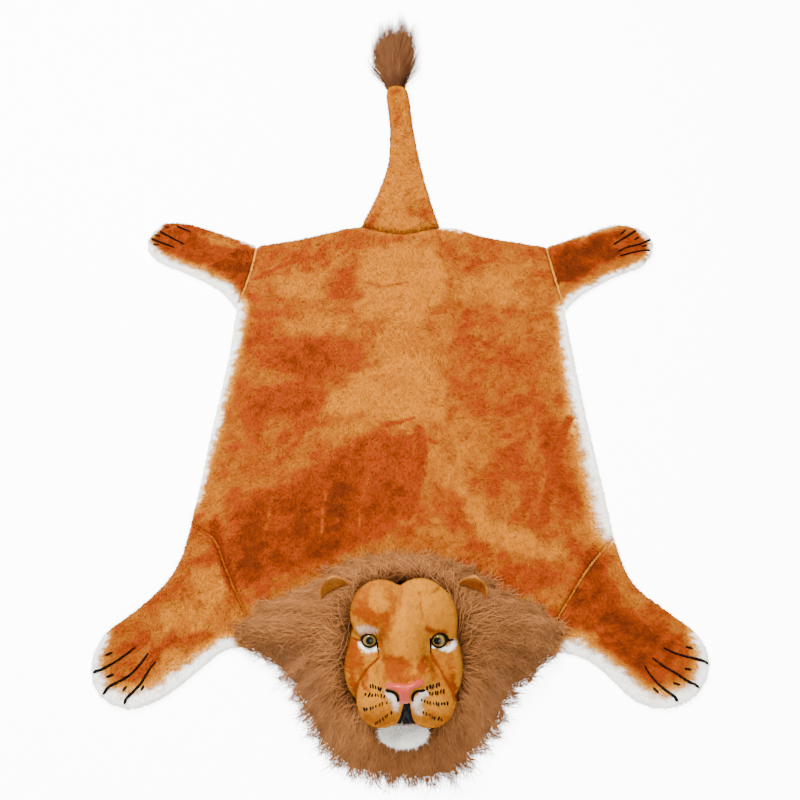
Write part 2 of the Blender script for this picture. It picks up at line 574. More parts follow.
class NodeBench:
    """Adds and joins the nodes of one material or node group."""

    def __init__(self, tree: bpy.types.NodeTree) -> None:
        """Work on a node tree."""
        self.tree = tree

    def feed(self, node: bpy.types.Node, inputs: dict) -> None:
        """Feed a node's sockets.

        Args:
            node: the node.
            inputs: values or other nodes' outputs, by socket name or number.
        """
        for name, value in inputs.items():
            if isinstance(value, bpy.types.NodeSocket):
                self.tree.links.new(value, node.inputs[name])
            else:
                node.inputs[name].default_value = value

    def node(self, kind: str, inputs: dict | None = None, **settings: object) -> bpy.types.Node:
        """Add a node.

        Args:
            kind: the node's type name.
            inputs: what feeds its sockets.
            **settings: the node's own settings.

        Returns:
            The new node.
        """
        made = self.tree.nodes.new(kind)
        for name, value in settings.items():
            setattr(made, name, value)
        self.feed(made, inputs or {})
        return made

    def mask(self, name: str) -> bpy.types.NodeSocket:
        """A value stored on the mesh's points."""
        return self.node("ShaderNodeAttribute", attribute_name=name).outputs["Fac"]

    def math(self, operation: str, *values: object) -> bpy.types.NodeSocket:
        """The result of a Math node."""
        return self.node("ShaderNodeMath", dict(enumerate(values)), operation=operation).outputs[0]

    def held(self, value: bpy.types.NodeSocket) -> bpy.types.NodeSocket:
        """A value held from 0 to 1."""
        return self.node("ShaderNodeClamp", {"Value": value}).outputs[0]

    def mixed(self, share: object, first: object, second: object,
              blend: str = "MIX") -> bpy.types.NodeSocket:
        """Two colours mixed by a share.

        Args:
            share: how much of the second shows.
            first: the first colour or socket.
            second: the second colour or socket.
            blend: the blend type.

        Returns:
            The mixed colour's socket.
        """
        inputs = {0: share, 6: first, 7: second}
        return self.node("ShaderNodeMix", inputs, data_type="RGBA", blend_type=blend).outputs[2]

    def noise(self, scale: float, detail: float = 3.0, distortion: float = 0.0) -> bpy.types.NodeSocket:
        """Noise over the object's own coordinates.

        Args:
            scale: turns per metre.
            detail: octaves.
            distortion: how twisted it is.

        Returns:
            The noise value's socket.
        """
        place = self.node("ShaderNodeTexCoord").outputs["Object"]
        inputs = {"Vector": place, "Scale": scale, "Detail": detail, "Distortion": distortion}
        return self.node("ShaderNodeTexNoise", inputs).outputs["Fac"]

    def ramp(self, share: bpy.types.NodeSocket, stops: Sequence) -> bpy.types.NodeSocket:
        """A colour ramp.

        Args:
            share: where on the ramp to read.
            stops: pairs of position and colour, in order.

        Returns:
            The colour's socket.
        """
        made = self.node("ShaderNodeValToRGB", {"Fac": share})
        elements = made.color_ramp.elements
        while len(elements) < len(stops):
            elements.new(0.5)
        for element, (position, colour) in zip(elements, stops):
            element.position = position
            element.color = colour
        return made.outputs["Color"]

    def group(self, tree: bpy.types.NodeTree, inputs: dict) -> bpy.types.NodeSocket:
        """The output of a shared node group, placed with its own values."""
        return self.node("ShaderNodeGroup", inputs, node_tree=tree).outputs[0]

    def bump(self, height: bpy.types.NodeSocket, strength: float, distance: float) -> bpy.types.NodeSocket:
        """The normal of a relief.

        Args:
            height: its height.
            strength: how strongly it shows.
            distance: how far its height reaches.

        Returns:
            The normal's socket.
        """
        inputs = {"Height": height, "Strength": strength, "Distance": distance}
        return self.node("ShaderNodeBump", inputs).outputs[0]


VALUE, COLOUR = "NodeSocketFloat", "NodeSocketColor"


def new_group(name: str, inputs: dict, output: str, kind: str) -> tuple:
    """An empty shader node group with one output.

    Args:
        name: the group's name.
        inputs: socket types by name.
        output: the output's name.
        kind: the output's socket type.

    Returns:
        A bench on the group, its input sockets by name, and its output node.
    """
    tree = bpy.data.node_groups.new(name, "ShaderNodeTree")
    for label, socket in inputs.items():
        tree.interface.new_socket(name=label, in_out="INPUT", socket_type=socket)
    tree.interface.new_socket(name=output, in_out="OUTPUT", socket_type=kind)
    bench = NodeBench(tree)
    return bench, bench.node("NodeGroupInput").outputs, bench.node("NodeGroupOutput")


class SharedEffects:
    """Node groups that several finishes place with their own values."""

    def __init__(self) -> None:
        """Build every group once."""
        self.dye = self.build_dye()
        self.fuzz = self.build_fuzz()
        self.strand = self.build_strand()

    @staticmethod
    def build_dye() -> bpy.types.NodeTree:
        """Dyed plush: a tone and a share of white become a mottled colour."""
        dyes = ("Straw", "Pale", "Gold", "Burnt", "Deep", "White Plush")
        sockets = {"Tone": VALUE, "White": VALUE, **dict.fromkeys(dyes, COLOUR)}
        bench, take, result = new_group("dyed plush", sockets, "Colour", COLOUR)
        uneven = bench.math("MULTIPLY_ADD", bench.noise(190, 4, 0.4), 0.30, -0.15)
        tone = bench.math("ADD", take["Tone"], uneven)
        strawy = bench.held(bench.math("MULTIPLY", take["Tone"], -4.0))
        colour = bench.mixed(strawy, take["Pale"], take["Straw"])
        for dyed, slope, start in (("Gold", 2.4, 0.0), ("Burnt", 2.9, -1.15), ("Deep", 2.4, -2.1)):
            share = bench.held(bench.math("MULTIPLY_ADD", tone, slope, start))
            colour = bench.mixed(share, colour, take[dyed])
        grain = bench.math("MULTIPLY_ADD", bench.noise(900, 2), 0.5, 0.75)
        flecked = bench.mixed(1.0, colour, grain, "MULTIPLY")
        bench.feed(result, {"Colour": bench.mixed(take["White"], flecked, take["White Plush"])})
        return bench.tree

    @staticmethod
    def build_fuzz() -> bpy.types.NodeTree:
        """Crushed pile as a relief: fine fibres over soft dents."""
        bench, take, result = new_group("pile relief", {"Fibre": VALUE, "Dents": VALUE}, "Height", VALUE)
        fibre = bench.math("MULTIPLY", bench.noise(1400, 2, 0.6), take["Fibre"])
        dents = bench.math("MULTIPLY", bench.noise(130, 4, 1.2), take["Dents"])
        bench.feed(result, {"Height": bench.math("ADD", fibre, dents)})
        return bench.tree

    @staticmethod
    def build_strand() -> bpy.types.NodeTree:
        """One strand of fur: dark at its root, paler toward its tip, with its own tone."""
        sockets = {"Along": VALUE, "Tone": VALUE, "Root": COLOUR, "Middle": COLOUR, "Tip": COLOUR}
        bench, take, result = new_group("strand colour", sockets, "Colour", COLOUR)
        grown = bench.held(bench.math("MULTIPLY", take["Along"], 2.6))
        body = bench.mixed(grown, take["Root"], take["Middle"])
        bleach = bench.math("MULTIPLY", bench.math("POWER", take["Along"], 1.2), take["Tone"])
        bench.feed(result, {"Colour": bench.mixed(bleach, body, take["Tip"])})
        return bench.tree


def new_material(name: str, roughness: float) -> tuple:
    """A material with its Principled surface.

    Args:
        name: the material's name.
        roughness: the surface's roughness.

    Returns:
        The material, a bench on its nodes, and the Principled node.
    """
    material = bpy.data.materials.new(name)
    material.use_nodes = True
    material.node_tree.nodes.clear()
    bench = NodeBench(material.node_tree)
    surface = bench.node("ShaderNodeBsdfPrincipled", {"Roughness": roughness})
    bench.node("ShaderNodeOutputMaterial", {"Surface": surface.outputs["BSDF"]})
    return material, bench, surface


@dataclass(frozen=True)
class Finish:
    """How a surface looks; each kind of finish says what feeds its sockets."""

    name: str
    roughness: float

    def sockets(self, bench: NodeBench, effects: SharedEffects) -> dict:
        """What feeds the surface.

        Args:
            bench: adds the material's nodes.
            effects: the shared node groups.

        Returns:
            Values and outputs by socket name.
        """
        raise NotImplementedError

    def build(self, effects: SharedEffects) -> bpy.types.Material:
        """Make the material.

        Args:
            effects: the shared node groups.

        Returns:
            The material.
        """
        material, bench, surface = new_material(self.name, self.roughness)
        bench.feed(surface, self.sockets(bench, effects))
        return material


@dataclass(frozen=True)
class DyedPlushFinish(Finish):
    """Short dyed plush, as cloth or as single hairs."""

    straw: tuple
    pale: tuple
    gold: tuple
    burnt: tuple
    deep: tuple
    white: tuple
    shine: float
    sheen: float
    relief: float  # how strongly crushed cloth shows, and 0 for single hairs

    def sockets(self, bench: NodeBench, effects: SharedEffects) -> dict:
        """What feeds the surface.

        Args:
            bench: adds the material's nodes.
            effects: the shared node groups.

        Returns:
            Values and outputs by socket name.
        """
        dyes = {"Tone": bench.mask("tone"), "White": bench.mask("white"), "Straw": self.straw,
                "Pale": self.pale, "Gold": self.gold, "Burnt": self.burnt, "Deep": self.deep,
                "White Plush": self.white}
        colour = bench.group(effects.dye, dyes)
        fed = {"Specular IOR Level": self.shine, "Sheen Weight": self.sheen, "Sheen Roughness": 0.5,
               "Sheen Tint": self.pale}
        if self.relief:
            fuzz = bench.group(effects.fuzz, {"Fibre": 0.35, "Dents": 0.65})
            fed["Normal"] = bench.bump(fuzz, self.relief, 0.002)
        else:
            root = bench.math("MULTIPLY_ADD", bench.mask("along"), 0.24, 0.82)
            colour = bench.mixed(1.0, colour, root, "MULTIPLY")
        return {"Base Color": colour, **fed}


@dataclass(frozen=True)
class StrandFinish(Finish):
    """Long fur."""

    root: tuple
    middle: tuple
    tip: tuple
    shine: float
    sheen: float

    def sockets(self, bench: NodeBench, effects: SharedEffects) -> dict:
        """What feeds the surface.

        Args:
            bench: adds the material's nodes.
            effects: the shared node groups.

        Returns:
            Values and outputs by socket name.
        """
        inputs = {"Along": bench.mask("along"), "Tone": bench.mask("tone"), "Root": self.root,
                  "Middle": self.middle, "Tip": self.tip}
        colour = bench.group(effects.strand, inputs)
        uneven = bench.math("MULTIPLY_ADD", bench.noise(38, 3), 0.7, 0.65)
        return {"Base Color": bench.mixed(1.0, colour, uneven, "MULTIPLY"), "Specular IOR Level": self.shine,
                "Sheen Weight": self.sheen, "Sheen Tint": self.tip}


@dataclass(frozen=True)
class MatFinish(Finish):
    """A dull felt, thread or backing with a fine grain."""

    colour: tuple
    worn: tuple
    grain: float

    def sockets(self, bench: NodeBench, effects: SharedEffects) -> dict:
        """What feeds the surface.

        Args:
            bench: adds the material's nodes.
            effects: the shared node groups.

        Returns:
            Values and outputs by socket name.
        """
        fuzz = bench.group(effects.fuzz, {"Fibre": 0.8, "Dents": 0.2})
        return {"Base Color": bench.mixed(bench.noise(self.grain, 3), self.colour, self.worn),
                "Specular IOR Level": 0.03, "Normal": bench.bump(fuzz, 0.5, 0.0008)}


@dataclass(frozen=True)
class NoseFinish(Finish):
    """Smooth moulded nose."""

    colour: tuple
    hollow: tuple

    def sockets(self, bench: NodeBench, effects: SharedEffects) -> dict:
        """What feeds the surface.

        Args:
            bench: adds the material's nodes.
            effects: the shared node groups.

        Returns:
            Values and outputs by socket name.
        """
        share = bench.math("MULTIPLY", bench.noise(160, 3), 0.5)
        return {"Base Color": bench.mixed(share, self.colour, self.hollow), "Specular IOR Level": 0.10,
                "Coat Weight": 0.16, "Coat Roughness": 0.28,
                "Normal": bench.bump(bench.noise(1600, 2), 0.12, 0.0005)}


@dataclass(frozen=True)
class EyeFinish(Finish):
    """Glass-like toy eye: pupil, streaked iris and dark rim by the angle from its axis."""

    pupil: tuple
    iris: tuple
    iris_edge: tuple
    rim: tuple

    def sockets(self, bench: NodeBench, effects: SharedEffects) -> dict:
        """What feeds the surface.

        Args:
            bench: adds the material's nodes.
            effects: the shared node groups.

        Returns:
            Values and outputs by socket name.
        """
        streaks = bench.math("MULTIPLY_ADD", bench.noise(620, 3, 1.0), 0.05, -0.025)
        turn = bench.math("ADD", bench.mask("turn"), streaks)
        stops = ((0.00, self.pupil), (0.235, self.pupil), (0.265, self.iris_edge), (0.33, self.iris),
                 (0.48, self.iris), (0.56, self.iris_edge), (0.60, self.rim))
        return {"Base Color": bench.ramp(turn, stops), "Specular IOR Level": 0.05, "Coat Weight": 0.16,
                "Coat Roughness": 0.03}


class Look(Enum):
    """Every finish on the rug."""

    RUG_CLOTH = DyedPlushFinish(
        "rug plush", 0.9, dye(0.470, 0.225, 0.040), dye(0.292, 0.088, 0.0036), dye(0.200, 0.052, 0.0030),
        dye(0.165, 0.0215, 0.0016), dye(0.072, 0.0105, 0.0016), dye(0.84, 0.83, 0.765), 0.03, 0.05, 0.8)
    RUG_HAIR = DyedPlushFinish(
        "rug pile", 0.75, dye(0.520, 0.250, 0.046), dye(0.330, 0.100, 0.0040), dye(0.226, 0.059, 0.0034),
        dye(0.186, 0.0245, 0.0018), dye(0.080, 0.0118, 0.0018), dye(0.90, 0.89, 0.83), 0.04, 0.05, 0.0)
    FACE_CLOTH = DyedPlushFinish(
        "face plush", 0.9, dye(0.470, 0.225, 0.040), dye(0.320, 0.114, 0.0060), dye(0.232, 0.068, 0.0030),
        dye(0.165, 0.0270, 0.0016), dye(0.040, 0.0060, 0.0016), dye(0.86, 0.84, 0.75), 0.01, 0.0, 0.7)
    FACE_HAIR = DyedPlushFinish(
        "face pile", 0.8, dye(0.520, 0.250, 0.046), dye(0.350, 0.125, 0.0064), dye(0.252, 0.074, 0.0034),
        dye(0.180, 0.0295, 0.0018), dye(0.043, 0.0064, 0.0016), dye(0.90, 0.88, 0.80), 0.01, 0.0, 0.0)
    EAR_CLOTH = DyedPlushFinish(
        "ear plush", 0.9, dye(0.470, 0.225, 0.040), dye(0.370, 0.142, 0.026), dye(0.300, 0.092, 0.010),
        dye(0.240, 0.050, 0.005), dye(0.120, 0.020, 0.004), dye(0.86, 0.84, 0.75), 0.01, 0.0, 0.7)
    EAR_HAIR = DyedPlushFinish(
        "ear pile", 0.8, dye(0.520, 0.250, 0.046), dye(0.410, 0.160, 0.032), dye(0.330, 0.102, 0.012),
        dye(0.270, 0.056, 0.006), dye(0.130, 0.022, 0.004), dye(0.90, 0.88, 0.80), 0.01, 0.0, 0.0)
    MANE = StrandFinish("mane fur", 0.6, dye(0.040, 0.0120, 0.0030), dye(0.158, 0.0540, 0.0122),
                        dye(0.350, 0.150, 0.050), 0.06, 0.02)
    TUFT = StrandFinish("tuft fur", 0.6, dye(0.040, 0.0125, 0.0038), dye(0.064, 0.0215, 0.0066),
                        dye(0.165, 0.068, 0.024), 0.05, 0.02)
    FLUFF = StrandFinish("white fluff", 0.7, dye(0.40, 0.39, 0.345), dye(0.84, 0.83, 0.77),
                         dye(0.93, 0.925, 0.88), 0.05, 0.0)
    GREY_FUZZ = StrandFinish("grey fuzz", 0.9, dye(0.003, 0.003, 0.003), dye(0.014, 0.016, 0.016),
                             dye(0.085, 0.092, 0.090), 0.02, 0.0)
    FUR_BACKING = MatFinish("fur backing", 0.9, dye(0.050, 0.0165, 0.0044), dye(0.090, 0.031, 0.0080), 60)
    FLUFF_BACKING = MatFinish("fluff backing", 0.9, dye(0.40, 0.385, 0.33), dye(0.52, 0.50, 0.44), 90)
    LINING = MatFinish("black lining", 0.9, dye(0.0012, 0.0012, 0.0012), dye(0.0030, 0.0030, 0.0028), 200)
    INK = MatFinish("black thread", 0.8, dye(0.0014, 0.0012, 0.0012), dye(0.0036, 0.0028, 0.0024), 300)
    NOSE = NoseFinish("pink nose", 0.42, dye(0.300, 0.0300, 0.0150), dye(0.215, 0.0150, 0.0075))
    EYE = EyeFinish("toy eye", 0.10, dye(0.0008, 0.0008, 0.0008), dye(0.125, 0.078, 0.0130),
                    dye(0.034, 0.019, 0.0040), dye(0.0010, 0.0010, 0.0010))


class Wardrobe:
    """Hands out materials, each built once."""

    def __init__(self) -> None:
        """Build the shared effects."""
        self.effects = SharedEffects()
        self.made: dict = {}

    def take(self, look: Look) -> bpy.types.Material:
        """The material of a look."""
        if look not in self.made:
            self.made[look] = look.value.build(self.effects)
        return self.made[look]


# ---------------------------------------------------------------- meshes
def linked(name: str, data: bpy.types.ID) -> bpy.types.Object:
    """A new object in the scene."""
    made = bpy.data.objects.new(name, data)
    bpy.context.scene.collection.objects.link(made)
    return made


def rays_on(piece: bpy.types.Object) -> BVHTree:
    """A piece's faces, ready for rays."""
    mesh = piece.data
    return BVHTree.FromPolygons([v.co for v in mesh.vertices], [p.vertices for p in mesh.polygons])


def nearest_rows(points: np.ndarray, places: np.ndarray) -> np.ndarray:
    """Find the nearest point to each place.

    Args:
        points: rows of two or three coordinates.
        places: rows of as many.

    Returns:
        The number of a point for each place.
    """
    tree = KDTree(len(points))
    for index, point in enumerate(points):
        tree.insert(Vector(point).to_3d(), index)
    tree.balance()
    return np.array([tree.find(Vector(place).to_3d())[1] for place in places])


def face_outward(mesh: bpy.types.Mesh, heart: np.ndarray) -> None:
    """Turn a mesh's faces so that they look away from a spot.

    Args:
        mesh: the mesh.
        heart: the spot.
    """
    faces = mesh.polygons
    centres, normals = np.empty(3 * len(faces)), np.empty(3 * len(faces))
    areas = np.empty(len(faces))
    faces.foreach_get("center", centres)
    faces.foreach_get("normal", normals)
    faces.foreach_get("area", areas)
    outward = np.sum((centres.reshape(-1, 3) - heart) * normals.reshape(-1, 3), axis=1)
    if outward @ areas < 0:
        mesh.flip_normals()
        mesh.update()


def new_piece(name: str, points: np.ndarray, faces: Sequence, material: bpy.types.Material,
              masks: dict | None = None, heart: np.ndarray | None = None) -> bpy.types.Object:
    """A mesh object with smooth shading that rides on the rug.

    Args:
        name: the piece's name.
        points: rows of world coordinates.
        faces: rows of point numbers.
        material: its material.
        masks: values for each point, by name.
        heart: a spot that its faces look away from, if that matters.

    Returns:
        The object.
    """
    mesh = bpy.data.meshes.new(name)
    mesh.from_pydata(np.asarray(points).tolist(), [], [list(map(int, face)) for face in faces])
    mesh.update()
    if heart is not None:
        face_outward(mesh, heart)
    mesh.shade_smooth()
    return dressed(name, mesh, material, masks)


def dressed(name: str, mesh: bpy.types.Mesh, material: bpy.types.Material,
            masks: dict | None = None) -> bpy.types.Object:
    """An object for a finished mesh.

    Args:
        name: the piece's name.
        mesh: its mesh.
        material: its material.
        masks: values for each point, by name.

    Returns:
        The object, riding on the rug.
    """
    for label, values in (masks or {}).items():
        attribute = mesh.attributes.new(label, "FLOAT", "POINT")
        attribute.data.foreach_set("value", np.asarray(values, dtype=np.float32))
    mesh.materials.clear()
    mesh.materials.append(material)
    piece = linked(name, mesh)
    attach(piece, "root")
    LOG.info("%s: %d points, %d faces", name, len(mesh.vertices), len(mesh.polygons))
    return piece


def mesh_points(mesh: bpy.types.Mesh) -> np.ndarray:
    """The points of a mesh as rows."""
    flat = np.empty(len(mesh.vertices) * 3)
    mesh.vertices.foreach_get("co", flat)
    return flat.reshape(-1, 3)


def reshape(mesh: bpy.types.Mesh, points: np.ndarray) -> None:
    """Move a mesh's points, and shade it smooth."""
    mesh.vertices.foreach_set("co", points.ravel())
    mesh.update()
    mesh.shade_smooth()


def remeshed(source: bpy.types.Object, voxel: float) -> bpy.types.Mesh:
    """An even, dense copy of a solid.

    Args:
        source: the object to copy.
        voxel: the size of the new faces.

    Returns:
        The new mesh.
    """
    double = linked("double", source.data.copy())
    modifier = double.modifiers.new("voxels", "REMESH")
    modifier.mode = "VOXEL"
    modifier.voxel_size = voxel
    graph = bpy.context.evaluated_depsgraph_get()
    mesh = bpy.data.meshes.new_from_object(double.evaluated_get(graph))
    bpy.data.objects.remove(double)
    return mesh


class Scatter(NamedTuple):
    """Spots spread over a surface."""

    roots: np.ndarray
    normals: np.ndarray


def scattered(mesh: bpy.types.Mesh, count: int, lowest: float, rng: np.random.Generator) -> Scatter:
    """Spread spots evenly over the faces that look up or sideways.

    Args:
        mesh: the surface.
        count: how many spots.
        lowest: faces whose normal has a smaller rise than this are left bare.
        rng: the random source.

    Returns:
        The spots.
    """
    mesh.calc_loop_triangles()
    corners = np.empty(len(mesh.loop_triangles) * 3, dtype=np.int32)
    mesh.loop_triangles.foreach_get("vertices", corners)
    a, b, c = mesh_points(mesh)[corners.reshape(-1, 3)].transpose(1, 0, 2)
    cross = np.cross(b - a, c - a)
    area = np.linalg.norm(cross, axis=1)
    normals = cross / np.maximum(area, 1e-12)[:, None]
    weight = np.where(normals[:, 2] > lowest, area, 0)
    chosen = rng.choice(len(weight), count, p=weight / weight.sum())
    u, v = rng.random((2, count, 1))
    fold = u + v > 1
    u, v = np.where(fold, 1 - u, u), np.where(fold, 1 - v, v)
    roots = a[chosen] + u * (b - a)[chosen] + v * (c - a)[chosen]
    return Scatter(roots, normals[chosen])


def unit(rows: np.ndarray) -> np.ndarray:
    """Rows scaled to length 1."""
    return rows / np.maximum(np.linalg.norm(rows, axis=-1, keepdims=True), 1e-12)


def strands(name: str, paths: np.ndarray, widths: np.ndarray, sides: np.ndarray,
            material: bpy.types.Material, masks: dict) -> bpy.types.Object:
    """Tapered strands joined in one mesh.

    Args:
        name: the piece's name.
        paths: for each strand, its points from root to tip.
        widths: each strand's width at its root.
        sides: each strand's sideways direction.
        material: the fur's material.
        masks: values for each strand, by name.

    Returns:
        The piece.
    """
    count, steps = paths.shape[:2]
    share = np.linspace(0, 1, steps)
    half = widths[:, None] * (1 - 0.8 * share[None, :-1] ** 1.3) / 2
    offset = sides[:, None, :] * half[:, :, None]
    near, far = paths[:, :-1] - offset, paths[:, :-1] + offset
    pairs = np.stack((near, far), axis=2).reshape(count, 2 * (steps - 1), 3)
    points = np.concatenate((pairs, paths[:, -1:]), axis=1)
    points[:, :, 2] = np.maximum(points[:, :, 2], FLOOR_CLEAR)
    faces = [(2 * k, 2 * k + 1, 2 * k + 2) for k in range(steps - 2)]
    faces += [(2 * k + 1, 2 * k + 3, 2 * k + 2) for k in range(steps - 2)]
    faces.append((2 * steps - 4, 2 * steps - 3, 2 * steps - 2))
    per = 2 * steps - 1
    table = np.array(faces)[None] + np.arange(count)[:, None, None] * per
    along = np.tile(np.append(np.repeat(share[:-1], 2), 1.0), count)
    spread = {label: np.repeat(values, per) for label, values in masks.items()}
    return new_piece(name, points.reshape(-1, 3), table.reshape(-1, 3), material, {"along": along, **spread})


@dataclass(frozen=True)
class ShortPile:
    """Short hairs, one face each, that lie nearly flat on plush."""

    length: float
    width: float
    lean: float  # degrees above the cloth

    def grow(self, name: str, spots: Scatter, comb: np.ndarray, material: bpy.types.Material,
             masks: dict, rng: np.random.Generator, stretch: np.ndarray | float = 1.0) -> bpy.types.Object:
        """Grow one hair on each spot.

        Args:
            name: the piece's name.
            spots: where the hairs stand.
            comb: the direction in which each lies.
            material: the hairs' material.
            masks: values for each hair, by name.
            rng: the random source.
            stretch: how much longer than usual each hair is.

        Returns:
            The piece.
        """
        count = len(spots.roots)
        flat = unit(comb - spots.normals * np.sum(comb * spots.normals, axis=1, keepdims=True))
        lean = np.radians(self.lean * rng.uniform(0.4, 1.6, (count, 1)))
        way = flat * np.cos(lean) + spots.normals * np.sin(lean)
        length = self.length * rng.uniform(0.6, 1.25, (count, 1)) * np.reshape(stretch, (-1, 1))
        sides = unit(np.cross(way, spots.normals) + 0.35 * rng.normal(size=(count, 3)))
        root = spots.roots - spots.normals * 0.0003
        paths = np.stack((root, root + way * length), axis=1)
        return strands(name, paths, self.width * rng.uniform(0.7, 1.2, count), sides, material, masks)


# ---------------------------------------------------------------- flat plush pieces of the rug
@dataclass(frozen=True)
class PlushPanel:
    """One flat plush piece with crushed pile, cut and sewn along its outline."""

    node: str
    flat: tuple  # width and length of the cut cloth
    hairs: int
    voxel: float
    seed: int
    crush: float = 0.0012  # how deep the crushed pile dips
    pile: ShortPile = ShortPile(0.0046, 0.0012, 34)

    def relief(self, places: np.ndarray) -> np.ndarray:
        """How far crushed pile stands above or below the mean, as a share.

        Args:
            places: rows of x and y.

        Returns:
            One share for each place.
        """
        broad = layered_noise(places, 0.046, 2, 61)
        fine = layered_noise(places @ np.array(((0.8, 0.6), (-0.6, 0.8))), 0.013, 2, 67)
        return 0.65 * broad + 0.55 * fine

    def cloth_mesh(self, source: bpy.types.Object) -> bpy.types.Mesh:
        """The cloth, dense on top and plain underneath.

        Args:
            source: the CAD node.

        Returns:
            The mesh.
        """
        mesh = remeshed(source, self.voxel)
        work = bmesh.new()
        work.from_mesh(mesh)
        under = [face for face in work.faces if face.normal.z < -0.9 and face.calc_center_median().z < 0.001]
        bmesh.ops.dissolve_faces(work, faces=under, use_verts=True)
        bmesh.ops.triangulate(work, faces=[face for face in work.faces if len(face.verts) > 4])
        work.to_mesh(mesh)
        work.free()
        points = mesh_points(mesh)
        rise = ease((points[:, 2] - 0.004) / 0.007)
        points[:, 2] += self.crush * rise * self.relief(points[:, :2])
        points[:, 2] = np.maximum(points[:, 2], 0.0)
        reshape(mesh, points)
        return mesh

    def comb(self, roots: np.ndarray) -> np.ndarray:
        """Direction of the pile, which crushed patches turn.

        Args:
            roots: rows of world coordinates.

        Returns:
            One direction for each root.
        """
        places = roots[:, :2]
        turn = 1.5 * RUG_DYE.crush(places) + 0.7 * layered_noise(places, 0.026, 2, 73)
        angle = np.arctan2(-0.9, 2.2 * places[:, 0]) + turn
        return np.stack((np.cos(angle), np.sin(angle), np.zeros(len(roots))), axis=1)

    def build(self, frame: dict, wardrobe: Wardrobe) -> bpy.types.Object:
        """Make the cloth and its pile.

        Args:
            frame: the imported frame.
            wardrobe: the materials.

        Returns:
            The cloth.
        """
        rng = np.random.default_rng(self.seed)
        mesh = self.cloth_mesh(frame["nodes"][self.node])
        places = mesh_points(mesh)[:, :2]
        masks = {"tone": RUG_DYE.tone(places), "white": RUG_DYE.white(places)}
        cloth = dressed(f"{self.node}_plush", mesh, wardrobe.take(Look.RUG_CLOTH), masks)
        spots = scattered(mesh, self.hairs, -0.2, rng)
        jitter = spots.roots[:, :2] + rng.normal(size=(self.hairs, 2)) * 0.0012
        stray = rng.random(self.hairs) < 0.012
        tone = RUG_DYE.tone(jitter) + rng.normal(size=self.hairs) * 0.13 - 0.35 * stray
        white = np.clip(RUG_DYE.white(jitter) * rng.uniform(0.75, 1.3, self.hairs), 0, 1)
        pile = self.pile.grow(f"{self.node}_pile", spots, self.comb(spots.roots),
                              wardrobe.take(Look.RUG_HAIR), {"tone": np.clip(tone, 0, 1.3), "white": white},
                              rng, 1 + 0.9 * stray)
        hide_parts(self.node)
        return cloth


PANELS = (
    PlushPanel("body_panel", (0.657, 0.862), 145000, 0.0036, 101),
    PlushPanel("leg_front_left", (0.257, 0.291), 15000, 0.0036, 102),
    PlushPanel("leg_front_right", (0.253, 0.268), 15000, 0.0036, 103),
    PlushPanel("leg_hind_left", (0.192, 0.176), 9000, 0.0036, 104),
    PlushPanel("leg_hind_right", (0.188, 0.178), 9000, 0.0036, 105),
    PlushPanel("tail", (0.138, 0.336), 11000, 0.0034, 106),
)


# ---------------------------------------------------------------- long fur
def averaged(grid: np.ndarray, rounds: int, mode: str) -> np.ndarray:
    """A grid whose cells are averaged with their neighbours.

    Args:
        grid: the cells.
        rounds: how often.
        mode: how the grid goes on past its rim.

    Returns:
        The new grid.
    """
    for _ in range(rounds):
        padded = np.pad(grid, 1, mode=mode)
        around = padded[2:, 1:-1] + padded[:-2, 1:-1] + padded[1:-1, 2:] + padded[1:-1, :-2]
        grid = 0.5 * grid + 0.125 * around
    return grid


class HeightMap:
    """Heights of a solid seen from above, on an even grid."""

    def __init__(self, solid: bpy.types.Object, low: Vector, high: Vector, pitch: float) -> None:
        """Sample the solid.

        Args:
            solid: the solid.
            low: lowest corner of the area.
            high: highest corner of the area.
            pitch: spacing of the samples.
        """
        self.low = np.array(low[:2])
        self.pitch = pitch
        counts = np.ceil((np.array(high[:2]) - self.low) / pitch).astype(int) + 1
        self.heights = np.full(counts, np.nan)
        rays = rays_on(solid)
        for i, j in itertools.product(*map(range, counts)):
            spot = self.low + np.array((i, j)) * pitch
            hit = rays.ray_cast(Vector((*spot, 0.5)), Vector((0, 0, -1)))[0]
            if hit is not None:
                self.heights[i, j] = hit.z
        self.solid = ~np.isnan(self.heights)

    def spread(self, rounds: int) -> None:
        """Carry the heights outward over bare cells, a cell for each round."""
        for _ in range(rounds):
            near = [np.roll(self.heights, step, axis) for step in (1, -1) for axis in (0, 1)]
            count = sum(~np.isnan(layer) for layer in near)
            total = sum(np.nan_to_num(layer) for layer in near)
            fill = np.where(count > 0, total / np.maximum(count, 1), np.nan)
            self.heights = np.where(np.isnan(self.heights), fill, self.heights)

    def read(self, grid: np.ndarray, places: np.ndarray) -> np.ndarray:
        """Read a grid between its samples.

        Args:
            grid: the values on this map's grid.
            places: rows whose first two columns are x and y.

        Returns:
            One value for each place.
        """
        scaled = (places[..., :2] - self.low) / self.pitch
        scaled = np.clip(scaled, 0, np.array(grid.shape) - 1.001)
        cell = scaled.astype(int)
        part = scaled - cell
        i, j = cell[..., 0], cell[..., 1]
        u, v = part[..., 0], part[..., 1]
        lower = grid[i, j] * (1 - u) + grid[i + 1, j] * u
        upper = grid[i, j + 1] * (1 - u) + grid[i + 1, j + 1] * u
        return lower * (1 - v) + upper * v


